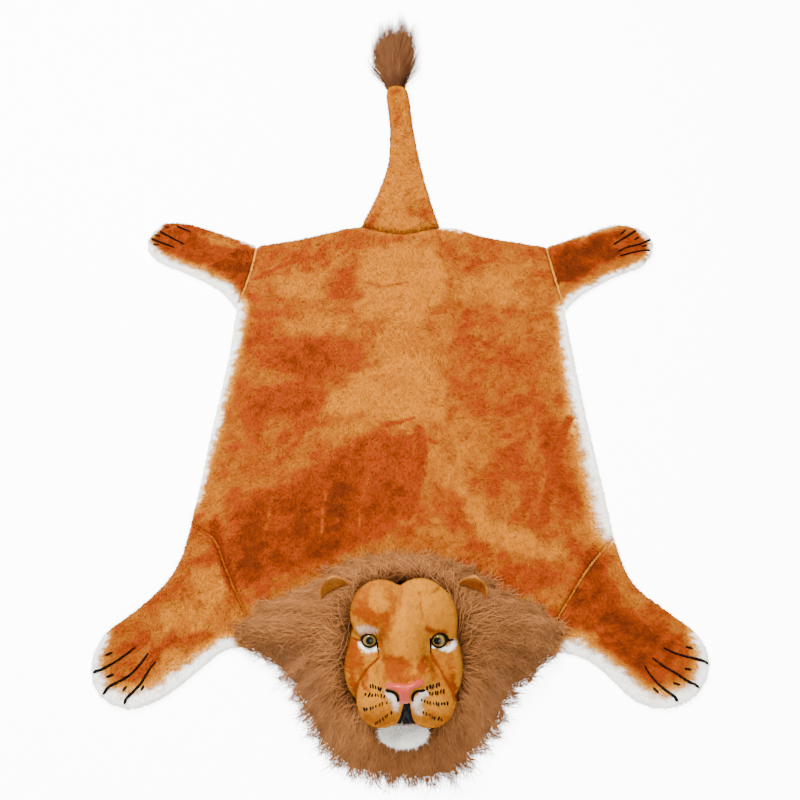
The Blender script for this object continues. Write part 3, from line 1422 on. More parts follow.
@dataclass
class LongFur:
    """Long fur over a backing that takes the place of its solid."""

    node: str
    name: str
    look: Look
    count: int
    clumps: int
    length: tuple
    width: float
    wave: float
    depth: float  # the backing lies this far below the solid's top
    parts: int
    seed: int
    gather: float  # how far a clump's strands draw together at the tip
    steps: ClassVar[int] = 6

    def survey(self, solid: bpy.types.Object) -> None:
        """Read what steers the fur from its solid."""
        raise NotImplementedError

    def drawn_in(self, points: np.ndarray) -> np.ndarray:
        """The backing's points, drawn in so that none shows past the fur."""
        raise NotImplementedError

    def paths(self, rng: np.random.Generator) -> tuple:
        """Each strand's points from root to tip, and its tone."""
        raise NotImplementedError

    def backing(self, solid: bpy.types.Object, wardrobe: Wardrobe) -> bpy.types.Object:
        """The cloth that the fur grows from, a little inside the solid.

        Args:
            solid: the solid.
            wardrobe: the materials.

        Returns:
            The backing.
        """
        mesh = remeshed(solid, 0.005)
        points = mesh_points(mesh)
        drop = np.minimum(self.depth, 0.55 * points[:, 2])
        points[:, 2] -= np.where(points[:, 2] > 0.004, drop, 0)
        points[:, 2] = np.maximum(points[:, 2], 0)
        reshape(mesh, self.drawn_in(points))
        return dressed(f"{self.name}_backing", mesh, wardrobe.take(Look.FUR_BACKING))

    def grow(self, wardrobe: Wardrobe, rng: np.random.Generator) -> list:
        """Grow the fur in a few pieces.

        Args:
            wardrobe: the materials.
            rng: the random source.

        Returns:
            The pieces.
        """
        paths, tone = self.paths(rng)
        ways = unit(paths[:, 2] - paths[:, 1])
        sides = unit(np.cross(ways, UP) + UP * rng.normal(size=(len(paths), 1)) * 0.45)
        widths = self.width * rng.uniform(0.6, 1.3, len(paths))
        return [strands(f"{self.name}_fur_{part}", paths[rows], widths[rows], sides[rows],
                        wardrobe.take(self.look), {"tone": tone[rows]})
                for part, rows in enumerate(np.array_split(np.arange(len(paths)), self.parts), 1)]

    def build(self, frame: dict, wardrobe: Wardrobe) -> list:
        """Make the backing and its fur.

        Args:
            frame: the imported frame.
            wardrobe: the materials.

        Returns:
            The pieces.
        """
        solid = frame["nodes"][self.node]
        self.survey(solid)
        backing = self.backing(solid, wardrobe)
        fur = self.grow(wardrobe, np.random.default_rng(self.seed))
        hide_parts(self.node)
        return [backing, *fur]


class Guides(NamedTuple):
    """What steers strands: their roots and how each runs."""

    roots: np.ndarray
    angles: np.ndarray
    lengths: np.ndarray
    waves: np.ndarray
    phases: np.ndarray
    lifts: np.ndarray


@dataclass
class Mane(LongFur):
    """The collar of fur round the head: it falls outward in wavy clumps and parts at the ears."""

    heart: tuple = (0.002, -0.566)  # the fur fans out from here
    pull: tuple = (0.0, -0.18)  # a drift added to the fan
    past_rim: tuple = (-0.034, 0.009)  # how far tips reach past the solid
    opening: float = 0.125  # bare cells nearer the heart than this also get roots
    wisp: float = 0.030  # how much further a few tips reach
    tangle: float = 0.50  # how far neighbouring clumps cross, in radians
    inset: float = 0.020  # how far the backing's outer rim draws in
    stray: float = 0.42  # how far a strand's own way leaves the fan, in radians
    leader_stray: float = 0.34
    pitch: ClassVar[float] = 0.003

    def survey(self, solid: bpy.types.Object) -> None:
        """Read the fur's top and where its solid ends.

        Args:
            solid: the solid.
        """
        low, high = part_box(self.node)
        margin = Vector((0.03, 0.03, 0))
        self.top = HeightMap(solid, Vector(low) - margin, Vector(high) + margin, self.pitch)
        self.top.spread(9)
        self.top.heights = averaged(np.nan_to_num(self.top.heights, nan=0.004), 6, "edge")
        self.inside = averaged(self.top.solid.astype(float), 14, "constant")
        near = self.top.solid
        for _ in range(3):
            shifted = [np.roll(near, step, axis) for step in (1, -1) for axis in (0, 1)]
            near = np.logical_or.reduce([near, *shifted])
        places = self.top.low + np.argwhere(near) * self.pitch
        hole = np.linalg.norm(places - np.array(self.heart), axis=1) < self.opening
        held = self.top.read(self.top.solid.astype(float), places) > 0.5
        self.ground_cells = np.argwhere(near)[held | hole]

    def drawn_in(self, points: np.ndarray) -> np.ndarray:
        """The backing's points, drawn in at its outer rim.

        Args:
            points: rows of world coordinates.

        Returns:
            The moved rows.
        """
        out = points[:, :2] - np.array(self.heart)
        reach = np.linalg.norm(out, axis=1)
        edge = ease((0.98 - self.top.read(self.inside, points)) / 0.30) * ease((reach - self.opening) / 0.02)
        points[:, :2] -= unit(out) * (self.inset * edge)[:, None]
        return points

    def rim_room(self, roots: np.ndarray, angles: np.ndarray) -> np.ndarray:
        """How far each strand may run before it leaves the solid.

        Args:
            roots: rows of x and y.
            angles: each strand's direction.

        Returns:
            One distance for each strand.
        """
        way = np.stack((np.cos(angles), np.sin(angles)), axis=1)
        room = np.zeros(len(roots))
        for run in np.arange(0.004, 0.130, 0.004):
            room = np.where(self.top.read(self.inside, roots + way * run) > 0.5, run, room)
        return room

    def guides(self, count: int, rng: np.random.Generator, loose: float) -> Guides:
        """Root strands, and choose how they run.

        Args:
            count: how many.
            rng: the random source.
            loose: how far each strays from the fan, in radians.

        Returns:
            The strands' guides.
        """
        chosen = self.ground_cells[rng.integers(len(self.ground_cells), size=count)]
        roots = self.top.low + (chosen + rng.uniform(-0.5, 0.5, (count, 2))) * self.pitch
        out = unit(roots - np.array(self.heart)) + np.array(self.pull)
        swirl = 0.45 * layered_noise(roots, 0.070, 2, self.seed + 5)
        swirl += self.tangle * smooth_noise(roots, 0.024, self.seed + 6)
        angles = np.arctan2(out[:, 1], out[:, 0]) + swirl + rng.normal(size=count) * loose
        wanted = rng.uniform(*self.length, count)
        wisp = self.wisp * (rng.random(count) < 0.3) * rng.uniform(0.2, 1, count) ** 1.5
        most = self.rim_room(roots, angles) + rng.uniform(*self.past_rim, count) + wisp
        return Guides(roots, angles, np.minimum(wanted, np.maximum(most, 0.006)),
                      self.wave * rng.uniform(0.3, 1.5, count), rng.uniform(0, 2 * math.pi, count),
                      rng.uniform(0.0, 1.0, count))

    def run(self, guides: Guides) -> np.ndarray:
        """Paths of strands over the fur's top.

        Args:
            guides: how they run.

        Returns:
            For each strand, its points from root to tip.
        """
        share = np.linspace(0, 1, self.steps)[None, :]
        way = np.stack((np.cos(guides.angles), np.sin(guides.angles)), axis=1)[:, None, :]
        side = np.stack((-way[..., 1], way[..., 0]), axis=-1)
        along = guides.lengths[:, None] * share
        turns = 2 * math.pi * along / (0.036 + 0.026 * guides.lifts[:, None]) + guides.phases[:, None]
        sway = guides.waves[:, None] * (np.sin(turns) - np.sin(guides.phases[:, None])) * share
        flat = guides.roots[:, None, :] + way * along[..., None] + side * sway[..., None]
        rise = guides.lifts[:, None]
        lift = -self.depth * (1 - share) ** 2 + (0.001 + 0.009 * rise**2) * np.sin(math.pi * share**0.8)
        level = flat.reshape(-1, 2)
        hills = 0.006 * layered_noise(level, 0.050, 2, self.seed + 7).reshape(flat.shape[:2])
        height = self.top.read(self.top.heights, flat) + lift - 0.003 * (1 - rise) + hills * share
        return np.concatenate((flat, height[..., None]), axis=2)

    def clear_of_ears(self, paths: np.ndarray) -> np.ndarray:
        """Which strands hide no ear.

        Args:
            paths: the strands' points.

        Returns:
            True or false for each strand.
        """
        kept = np.ones(len(paths), dtype=bool)
        middles = (paths[:, 1:] + paths[:, :-1]) / 2
        for ear in EARS:
            for points in (paths, middles):
                hides = ear.shown(points.reshape(-1, 3)).reshape(points.shape[:2])
                kept &= ~hides.any(axis=1)
        return kept

    def paths(self, rng: np.random.Generator) -> tuple:
        """Lay strands that follow the nearest clump's leader.

        Args:
            rng: the random source.

        Returns:
            Their points from root to tip, and their tones.
        """
        leaders = self.guides(self.clumps, rng, self.leader_stray)
        own = self.guides(self.count, rng, self.stray)
        chosen = nearest_rows(leaders.roots, own.roots)
        near = Guides(*(values[chosen] for values in leaders))
        shared = own._replace(phases=near.phases + 0.5 * (own.phases - math.pi) * 0.3,
                              waves=0.6 * near.waves + 0.4 * own.waves)
        paths, lead = self.run(shared), self.run(near)
        pull = self.gather * np.linspace(0, 1, self.steps)[None, :, None] ** 1.2
        reach = np.linalg.norm(lead[:, -1, :2] - paths[:, -1, :2], axis=1) < 0.05
        paths = np.where(reach[:, None, None], paths + pull * (lead - paths), paths)
        kept = self.clear_of_ears(paths)
        paths, chosen = paths[kept], chosen[kept]
        tone = 0.5 * rng.uniform(0, 1, self.clumps)[chosen] + rng.uniform(-0.15, 0.45, len(paths))
        tone += 0.40 * layered_noise(paths[:, 0, :2], 0.040, 2, self.seed + 8)
        return paths, np.clip(tone + 0.5 * (rng.random(len(paths)) < 0.05), 0, 1.2)


class Tuft(LongFur):
    """The brush at the tail's end: pointed locks that fan out from a narrow root."""

    def survey(self, solid: bpy.types.Object) -> None:
        """Find the middle line, and where the root starts."""
        low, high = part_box(self.node)
        self.x, self.y = (low[0] + high[0]) / 2, low[1]

    def drawn_in(self, points: np.ndarray) -> np.ndarray:
        """The backing's points, drawn in to the narrow root."""
        start = np.array((self.x, self.y, 0))
        return start + (points - start) * (0.20, 0.30, 0.6)

    def paths(self, rng: np.random.Generator) -> tuple:
        """Lay pointed locks that rise from the tail's end and spread like a brush.

        Args:
            rng: the random source.

        Returns:
            The strands' points from root to tip, and their tones.
        """
        lean = rng.uniform(-1, 1, self.clumps)
        notch = 0.24 * np.exp(-(((lean + 0.40) / 0.14) ** 2))
        reach = rng.uniform(*self.length, self.clumps) * (1 - 0.13 * lean**2 - notch)
        bend = rng.uniform(-1, 1, self.clumps)
        lock = rng.integers(self.clumps, size=self.count)
        share = np.linspace(0, 1, self.steps)[None, :]
        stray = 0.32 * rng.normal(size=self.count)[:, None] * (1 - self.gather * share)
        across = lean[lock][:, None] + stray
        high = (0.65 * rng.random(self.clumps)[lock] + 0.35 * rng.random(self.count))[:, None]
        run = (reach[lock] * rng.uniform(0.50, 1.12, self.count))[:, None] * share
        wide = 0.0090 + 0.0290 * ease(share / 0.95)
        sway = self.wave * bend[lock][:, None] * np.sin(4.4 * share + 5 * bend[lock][:, None]) * share
        dome = np.sqrt(np.clip(1 - 0.6 * across**2, 0.05, 1))
        height = 0.004 + high * (0.016 + 0.020 * np.sin(math.pi * share**0.8)) * dome
        flat_x = self.x + 0.0045 + across * wide + sway
        flat_y = self.y - 0.010 + run - 0.010 * across**2 * share
        tone = 0.65 * rng.random(self.clumps)[lock] + rng.uniform(-0.15, 0.40, self.count)
        return np.stack((flat_x, flat_y, height), axis=2), np.clip(tone, 0, 1.2)


MANE = Mane(node="mane", name="mane", look=Look.MANE, count=39000, clumps=5200, length=(0.036, 0.078),
            width=0.0010, wave=0.0062, depth=0.011, parts=3, seed=881, gather=0.24)
TUFT = Tuft(node="tail_tuft", name="tuft", look=Look.TUFT, count=6200, clumps=52, length=(0.122, 0.186),
            width=0.00082, wave=0.0110, depth=0.008, parts=1, seed=883, gather=0.62)


# ---------------------------------------------------------------- head
HEAD_CENTRE = np.array((0.005, -0.580, 0.115))  # middle of the face plane
HEAD_TILT = math.radians(57)
FACE_X = np.array((1.0, 0.0, 0.0))
FACE_T = np.array((0.0, -math.sin(HEAD_TILT), -math.cos(HEAD_TILT)))
FACE_N = np.array((0.0, -math.cos(HEAD_TILT), math.sin(HEAD_TILT)))


class Lump(NamedTuple):
    """A stuffed form: its middle and half-sizes along the head's axes."""

    middle: tuple
    half: tuple


EYES = ((-0.047, -0.038), (0.0485, -0.038))  # their middles on the face
HEAD_LUMPS = (
    Lump((0.000, -0.008, -0.040), (0.083, 0.092, 0.062)),  # skull
    Lump((0.000, 0.006, -0.076), (0.074, 0.078, 0.062)),  # neck
    Lump((-0.032, -0.071, -0.014), (0.042, 0.046, 0.042)),  # left forehead
    Lump((0.023, -0.072, -0.014), (0.043, 0.047, 0.042)),  # right forehead
    Lump((0.040, -0.058, -0.020), (0.036, 0.046, 0.040)),  # right temple
    Lump((0.001, -0.026, 0.002), (0.031, 0.066, 0.051)),  # bridge
    Lump((-0.049, 0.008, -0.018), (0.034, 0.052, 0.032)),  # left cheek
    Lump((0.052, 0.008, -0.018), (0.031, 0.052, 0.032)),  # right cheek
    Lump((0.002, 0.014, 0.022), (0.042, 0.038, 0.047)),  # muzzle
    Lump((-0.030, 0.043, 0.018), (0.036, 0.038, 0.039)),  # left pad
    Lump((0.036, 0.043, 0.018), (0.036, 0.038, 0.039)),  # right pad
    Lump((0.001, 0.078, -0.016), (0.045, 0.025, 0.032)),  # jaw
)
CHIN = Lump((0.000, 0.0945, 0.004), (0.0330, 0.0160, 0.019))


def to_world(local: np.ndarray) -> np.ndarray:
    """World points from head coordinates (x, t, n)."""
    rows = np.atleast_2d(local)
    return HEAD_CENTRE + rows[:, :1] * FACE_X + rows[:, 1:2] * FACE_T + rows[:, 2:] * FACE_N


def to_head(points: np.ndarray) -> np.ndarray:
    """Head coordinates (x, t, n) from world points."""
    return (np.atleast_2d(points) - HEAD_CENTRE) @ np.stack((FACE_X, FACE_T, FACE_N), axis=1)


@dataclass(frozen=True)
class HeadForm:
    """The stuffed head as a blend of lumps, with a hollow round each eye and sewn seams."""

    heart: tuple = (0.002, 0.000, -0.030)  # every point of the head is seen from here
    reach: float = 0.180  # no point lies further from the heart
    blend: float = 0.008  # how softly lumps run together
    hollow: float = 0.017  # radius of the ball that presses in each eye's hollow
    hollow_out: float = 0.028  # how far out of the face that ball's middle lies
    hollow_blend: float = 0.008
    base: float = 0.0124  # height of the cloth that it is sewn to
    seam_half: float = 0.0019
    seam_deep: float = 0.0024
    seams: tuple = (
        mm(-35.5, -24, -35.5, -14, -42.5, -7, -52, 4, -61, 17, -66, 32, -66.5, 46, -60, 62),
        mm(37.5, -22, 42.5, -11, 51, 2, 59, 14, 64.5, 24, 70, 40, 66, 58),
        mm(-4, -116, -4.5, -102, -5, -92),
        mm(23, -98, 25, -86, 26.2, -70),
        mm(20, -106, 36, -104, 52, -108),
        mm(-61, -34, -72, -35, -80, -36),
    )

    def lump_distance(self, points: np.ndarray, lump: Lump) -> np.ndarray:
        """About how far points lie outside one lump.

        Args:
            points: head coordinates.
            lump: the stuffed form.

        Returns:
            One distance for each point.
        """
        half = np.array(lump.half)
        offset = points - np.array(lump.middle)
        level = np.linalg.norm(offset / half, axis=-1)
        slope = np.linalg.norm(offset / half**2, axis=-1)
        return level * (level - 1) / np.maximum(slope, 1e-9)

    @staticmethod
    def soft_min(a: np.ndarray, b: np.ndarray, blend: float) -> np.ndarray:
        """The smaller of two distances, with a soft join."""
        mix = np.clip(blend - np.abs(a - b), 0, None) / blend
        return np.minimum(a, b) - mix * mix * blend / 4

    def distance(self, points: np.ndarray) -> np.ndarray:
        """About how far points lie outside the head.

        Args:
            points: head coordinates.

        Returns:
            One distance for each point.
        """
        result = self.lump_distance(points, HEAD_LUMPS[0])
        for lump in HEAD_LUMPS[1:]:
            result = self.soft_min(result, self.lump_distance(points, lump), self.blend)
        for x, t in EYES:
            hollow = np.linalg.norm(points - np.array((x, t, self.hollow_out)), axis=-1) - self.hollow
            result = -self.soft_min(-result, hollow, self.hollow_blend)
        return result

    def surface(self, directions: np.ndarray) -> np.ndarray:
        """Head coordinates of the skin along directions from the heart.

        Args:
            directions: unit directions in head coordinates.

        Returns:
            One point for each direction.
        """
        steps = np.linspace(0.030, self.reach, 51)
        heart = np.array(self.heart)
        field = self.distance(heart + directions[:, None, :] * steps[None, :, None])
        last = field.shape[1] - 1 - np.argmax((field < 0)[:, ::-1], axis=1)
        low, high = steps[last], steps[np.minimum(last + 1, len(steps) - 1)]
        for _ in range(12):
            middle = (low + high) / 2
            within = self.distance(heart + directions * middle[:, None]) < 0
            low, high = np.where(within, middle, low), np.where(within, high, middle)
        rise = directions @ np.array((0.0, FACE_T[2], FACE_N[2]))
        drop = self.base - to_world(heart)[0, 2]
        limit = np.where(rise < -1e-6, drop / np.minimum(rise, -1e-6), np.inf)
        return heart + directions * np.minimum((low + high) / 2, limit)[:, None]

    def seam_depth(self, local: np.ndarray) -> np.ndarray:
        """How deep the sewn seams draw the skin in.

        Args:
            local: head coordinates.

        Returns:
            One depth for each point.
        """
        nearest = np.full(len(local), np.inf)
        for seam in self.seams:
            nearest = np.minimum(nearest, line_reach(local[:, :2], seam)[0])
        front = ease(local[:, 2] / 0.02 + 1.2)
        return self.seam_deep * np.exp(-((nearest / self.seam_half) ** 2)) * front


class Drop:
    """Drops points on some pieces, along one direction."""

    def __init__(self, pieces: Sequence[bpy.types.Object], start: Callable, way: np.ndarray) -> None:
        """Read the meshes that a point may land on.

        Args:
            pieces: the pieces.
            start: gives the world point from which a spot of two coordinates is dropped.
            way: the direction of the fall.
        """
        self.start = start
        self.way = Vector(way)
        self.trees = [rays_on(piece) for piece in pieces]

    def holds(self, spot: np.ndarray, wide: float) -> bool:
        """Whether something lies under a spot and all round it."""
        around = [Vector(self.start(spot[0] + x * wide, spot[1] + y * wide))
                  for x, y in ((-1, 0), (1, 0), (0, -1), (0, 1))]
        return all(any(tree.ray_cast(start, self.way)[0] for tree in self.trees) for start in around)

    def land(self, across: float, along: float) -> tuple:
        """Where a spot lands first, and the surface's normal there.

        Args:
            across: its first coordinate.
            along: its second coordinate.

        Returns:
            The place and the normal.
        """
        start = Vector(self.start(across, along))
        hits = [tree.ray_cast(start, self.way) for tree in self.trees]
        landed = [hit for hit in hits if hit[0] is not None]
        if not landed:
            raise ValueError(f"nothing under {across:.4f}, {along:.4f}")
        place, normal = min(landed, key=lambda hit: hit[3])[:2]
        return np.array(place), np.array(normal)


def face_drop(pieces: Sequence[bpy.types.Object]) -> Drop:
    """A drop on the face from before it: spots are its x and t."""
    return Drop(pieces, lambda x, t: to_world(np.array((x, t, 0.14)))[0], -FACE_N)


def rug_drop(pieces: Sequence[bpy.types.Object]) -> Drop:
    """A drop on the rug from above: spots are x and y."""
    return Drop(pieces, lambda x, y: (x, y, 0.3), -UP)


class Line(NamedTuple):
    """A drawn line: its points and half-widths at its start and end."""

    points: np.ndarray
    start: float
    end: float


def through(points: np.ndarray, step: float, closed: bool = False) -> np.ndarray:
    """Evenly spaced points on a smooth curve through some points.

    Args:
        points: the points, of two coordinates.
        step: spacing of the result.
        closed: whether the curve runs back to its start.

    Returns:
        Rows of coordinates.
    """
    if closed:
        ring = np.concatenate((points[-1:], points, points[:2]))
    else:
        ring = np.concatenate((2 * points[:1] - points[1:2], points, 2 * points[-1:] - points[-2:-1]))
    u = np.linspace(0, 1, 13)[:-1, None]
    runs = []
    for a, b, c, d in zip(ring[:-3], ring[1:-2], ring[2:-1], ring[3:]):
        runs.append(0.5 * (2 * b + (c - a) * u + (2 * a - 5 * b + 4 * c - d) * u**2
                           + (3 * b - a - 3 * c + d) * u**3))
    dense = np.concatenate(runs + [points[:1] if closed else points[-1:]])
    lengths = np.append(0, np.cumsum(np.linalg.norm(np.diff(dense, axis=0), axis=1)))
    count = max(3, int(round(lengths[-1] / step)) + 1)
    marks = np.linspace(0, lengths[-1], count)
    even = np.stack([np.interp(marks, lengths, dense[:, k]) for k in (0, 1)], axis=1)
    return even[:-1] if closed else even


@dataclass(frozen=True)
class Linework:
    """Thin raised lines of thread or short black hair, laid on a surface."""

    name: str
    lines: tuple
    lift: float  # how high its middle stands
    step: float
    ragged: float  # how far its width strays, as a share
    tone: float = 1.0  # for threads dyed as the cloth is
    section: ClassVar[tuple] = ((-1, -0.4), (-0.55, 0.8), (0, 1), (0.55, 0.8), (1, -0.4))  # across and up

    def build(self, ground: Drop | Level, material: bpy.types.Material) -> bpy.types.Object:
        """Lay every line on the surface, joined in one mesh.

        Args:
            ground: what they lie on.
            material: their material.

        Returns:
            The piece.
        """
        rng = np.random.default_rng(len(self.lines))
        points, faces, normals = [], [], []
        for line in self.lines:
            wide = 1.02 * max(line.start, line.end)
            flat = np.array([spot for spot in through(line.points, self.step) if ground.holds(spot, wide)])
            count = len(flat)
            share = np.linspace(0, 1, count)
            half = line.start + (line.end - line.start) * share
            to_end = np.minimum(share, 1 - share) * (count - 1) * self.step
            half = half * np.sqrt(np.clip(1 - (1 - np.minimum(to_end / half, 1)) ** 2, 0.04, 1))
            half = half * (1 + self.ragged * rng.normal(size=count))
            run = np.gradient(flat, axis=0)
            side = unit(np.stack((-run[:, 1], run[:, 0]), axis=1))
            first = len(points)
            for spot, across, wide in zip(flat, side, np.abs(half)):
                for offset, rise in self.section:
                    place, normal = ground.land(*(spot + across * wide * offset))
                    points.append(place + normal * self.lift * rise)
                    normals.append(normal)
            per = len(self.section)
            for row, column in itertools.product(range(count - 1), range(per - 1)):
                corner = first + per * row + column
                faces.append((corner, corner + per, corner + per + 1, corner + 1))
        masks = {"tone": np.full(len(points), self.tone), "white": np.zeros(len(points))}
        heart = np.mean(points, axis=0) - np.mean(normals, axis=0)
        return new_piece(self.name, np.array(points), faces, material, masks, heart)


@dataclass(frozen=True)
class EyeRim:
    """The black felt rim round one eye, of uneven width."""

    side: str
    centre: tuple
    radii: tuple  # angle in degrees (0 to the right, 90 toward the chin), inner and outer radius
    rows: ClassVar[tuple] = ((0.0, -0.6), (0.12, 0.5), (0.35, 1.0), (0.65, 0.9), (0.9, 0.3), (1.0, -0.6))
    thick: ClassVar[float] = 0.0011
    around: ClassVar[int] = 96

    def loops(self) -> np.ndarray:
        """Inner and outer radius at each angle, as two smooth columns."""
        angles = np.arange(self.around) * 360 / self.around
        stops = np.array(sorted(self.radii))
        loops = np.stack([np.interp(angles, stops[:, 0], stops[:, k], period=360) for k in (1, 2)], axis=1)
        for _ in range(8):
            loops = (np.roll(loops, 1, axis=0) + 2 * loops + np.roll(loops, -1, axis=0)) / 4
        return loops / 1000

    def build(self, ground: Drop, material: bpy.types.Material) -> bpy.types.Object:
        """Lay the rim over the skin and the eye's edge.

        Args:
            ground: the face with its eyes.
            material: its material.

        Returns:
            The piece.
        """
        points = []
        for k, (inner, outer) in enumerate(self.loops()):
            angle = 2 * math.pi * k / self.around
            for share, rise in self.rows:
                radius = inner + (outer - inner) * share
                place = ground.land(self.centre[0] + radius * math.cos(angle),
                                    self.centre[1] + radius * math.sin(angle))[0]
                points.append(place + FACE_N * self.thick * rise)
        per = len(self.rows)
        faces = []
        for k in range(self.around):
            for row in range(per - 1):
                near, far = per * k + row, per * ((k + 1) % self.around) + row
                faces.append((near, near + 1, far + 1, far))
        heart = np.mean(points, axis=0) - FACE_N
        return new_piece(f"eye_rim_{self.side}", np.array(points), faces, material, None, heart)


@dataclass(frozen=True)
class FacePad:
    """A rounded pad over part of the face, such as the nose."""

    name: str
    outline: np.ndarray
    proud: float  # how high its middle stands
    rounding: float  # width of its rounded edge
    sunk: float  # how deep its rim sits in the skin
    pitch: float = 0.0011

    def build(self, ground: Drop, material: bpy.types.Material,
              shape: Callable | None = None) -> bpy.types.Object:
        """Make the pad.

        Args:
            ground: the face.
            material: its material.
            shape: extra height for rows of (x, t), if any.

        Returns:
            The piece.
        """
        rim = through(self.outline, self.pitch, closed=True)
        low, high = rim.min(axis=0), rim.max(axis=0)
        xs = np.arange(low[0], high[0], self.pitch)
        ts = np.arange(low[1], high[1], self.pitch)
        grid = np.array([(x, t) for x in xs for t in ts])
        closed = np.concatenate((rim, rim[:1]))
        gap = line_reach(grid, closed)[0]
        spots = grid[(gap > 0.6 * self.pitch) & within(grid, rim)]
        flat = np.concatenate((rim, spots))
        edge = line_reach(flat, closed)[0]
        edge[: len(rim)] = 0
        dome = np.sqrt(np.clip(1 - (1 - np.clip(edge / self.rounding, 0, 1)) ** 2, 0, 1))
        rise = self.proud * dome - self.sunk * (edge < 1e-9)
        if shape is not None:
            rise = rise + shape(flat) * ease(edge / (0.5 * self.rounding))
        points = np.array([ground.land(*spot)[0] + FACE_N * lift for spot, lift in zip(flat, rise)])
        ring = [(k, (k + 1) % len(rim)) for k in range(len(rim))]
        faces = geometry.delaunay_2d_cdt([Vector(spot) for spot in flat], ring, [], 1, 1e-7)[2]
        return new_piece(self.name, points, faces, material, None, points.mean(axis=0) - FACE_N)


def ball_directions(across: int, around: int) -> np.ndarray:
    """Unit directions in rings about the x axis.

    Args:
        across: how many rings.
        around: directions in each ring.

    Returns:
        Rows of directions, ring by ring.
    """
    b = np.arange(around) * 2 * math.pi / around
    rows = []
    for a in (np.arange(across) + 0.5) * math.pi / across:
        side = np.full(around, -math.cos(a))
        rows.append(np.stack((side, math.sin(a) * np.cos(b), math.sin(a) * np.sin(b)), axis=1))
    return np.concatenate(rows)


def ball_faces(across: int, around: int) -> list:
    """Faces that close the rings of ball_directions, each end with one face."""
    faces = []
    for row in range(across - 1):
        for k in range(around):
            near, far = row * around + k, row * around + (k + 1) % around
            faces.append((near, far, far + around, near + around))
    faces.append(tuple(range(around))[::-1])
    faces.append(tuple(range((across - 1) * around, across * around)))
    return faces


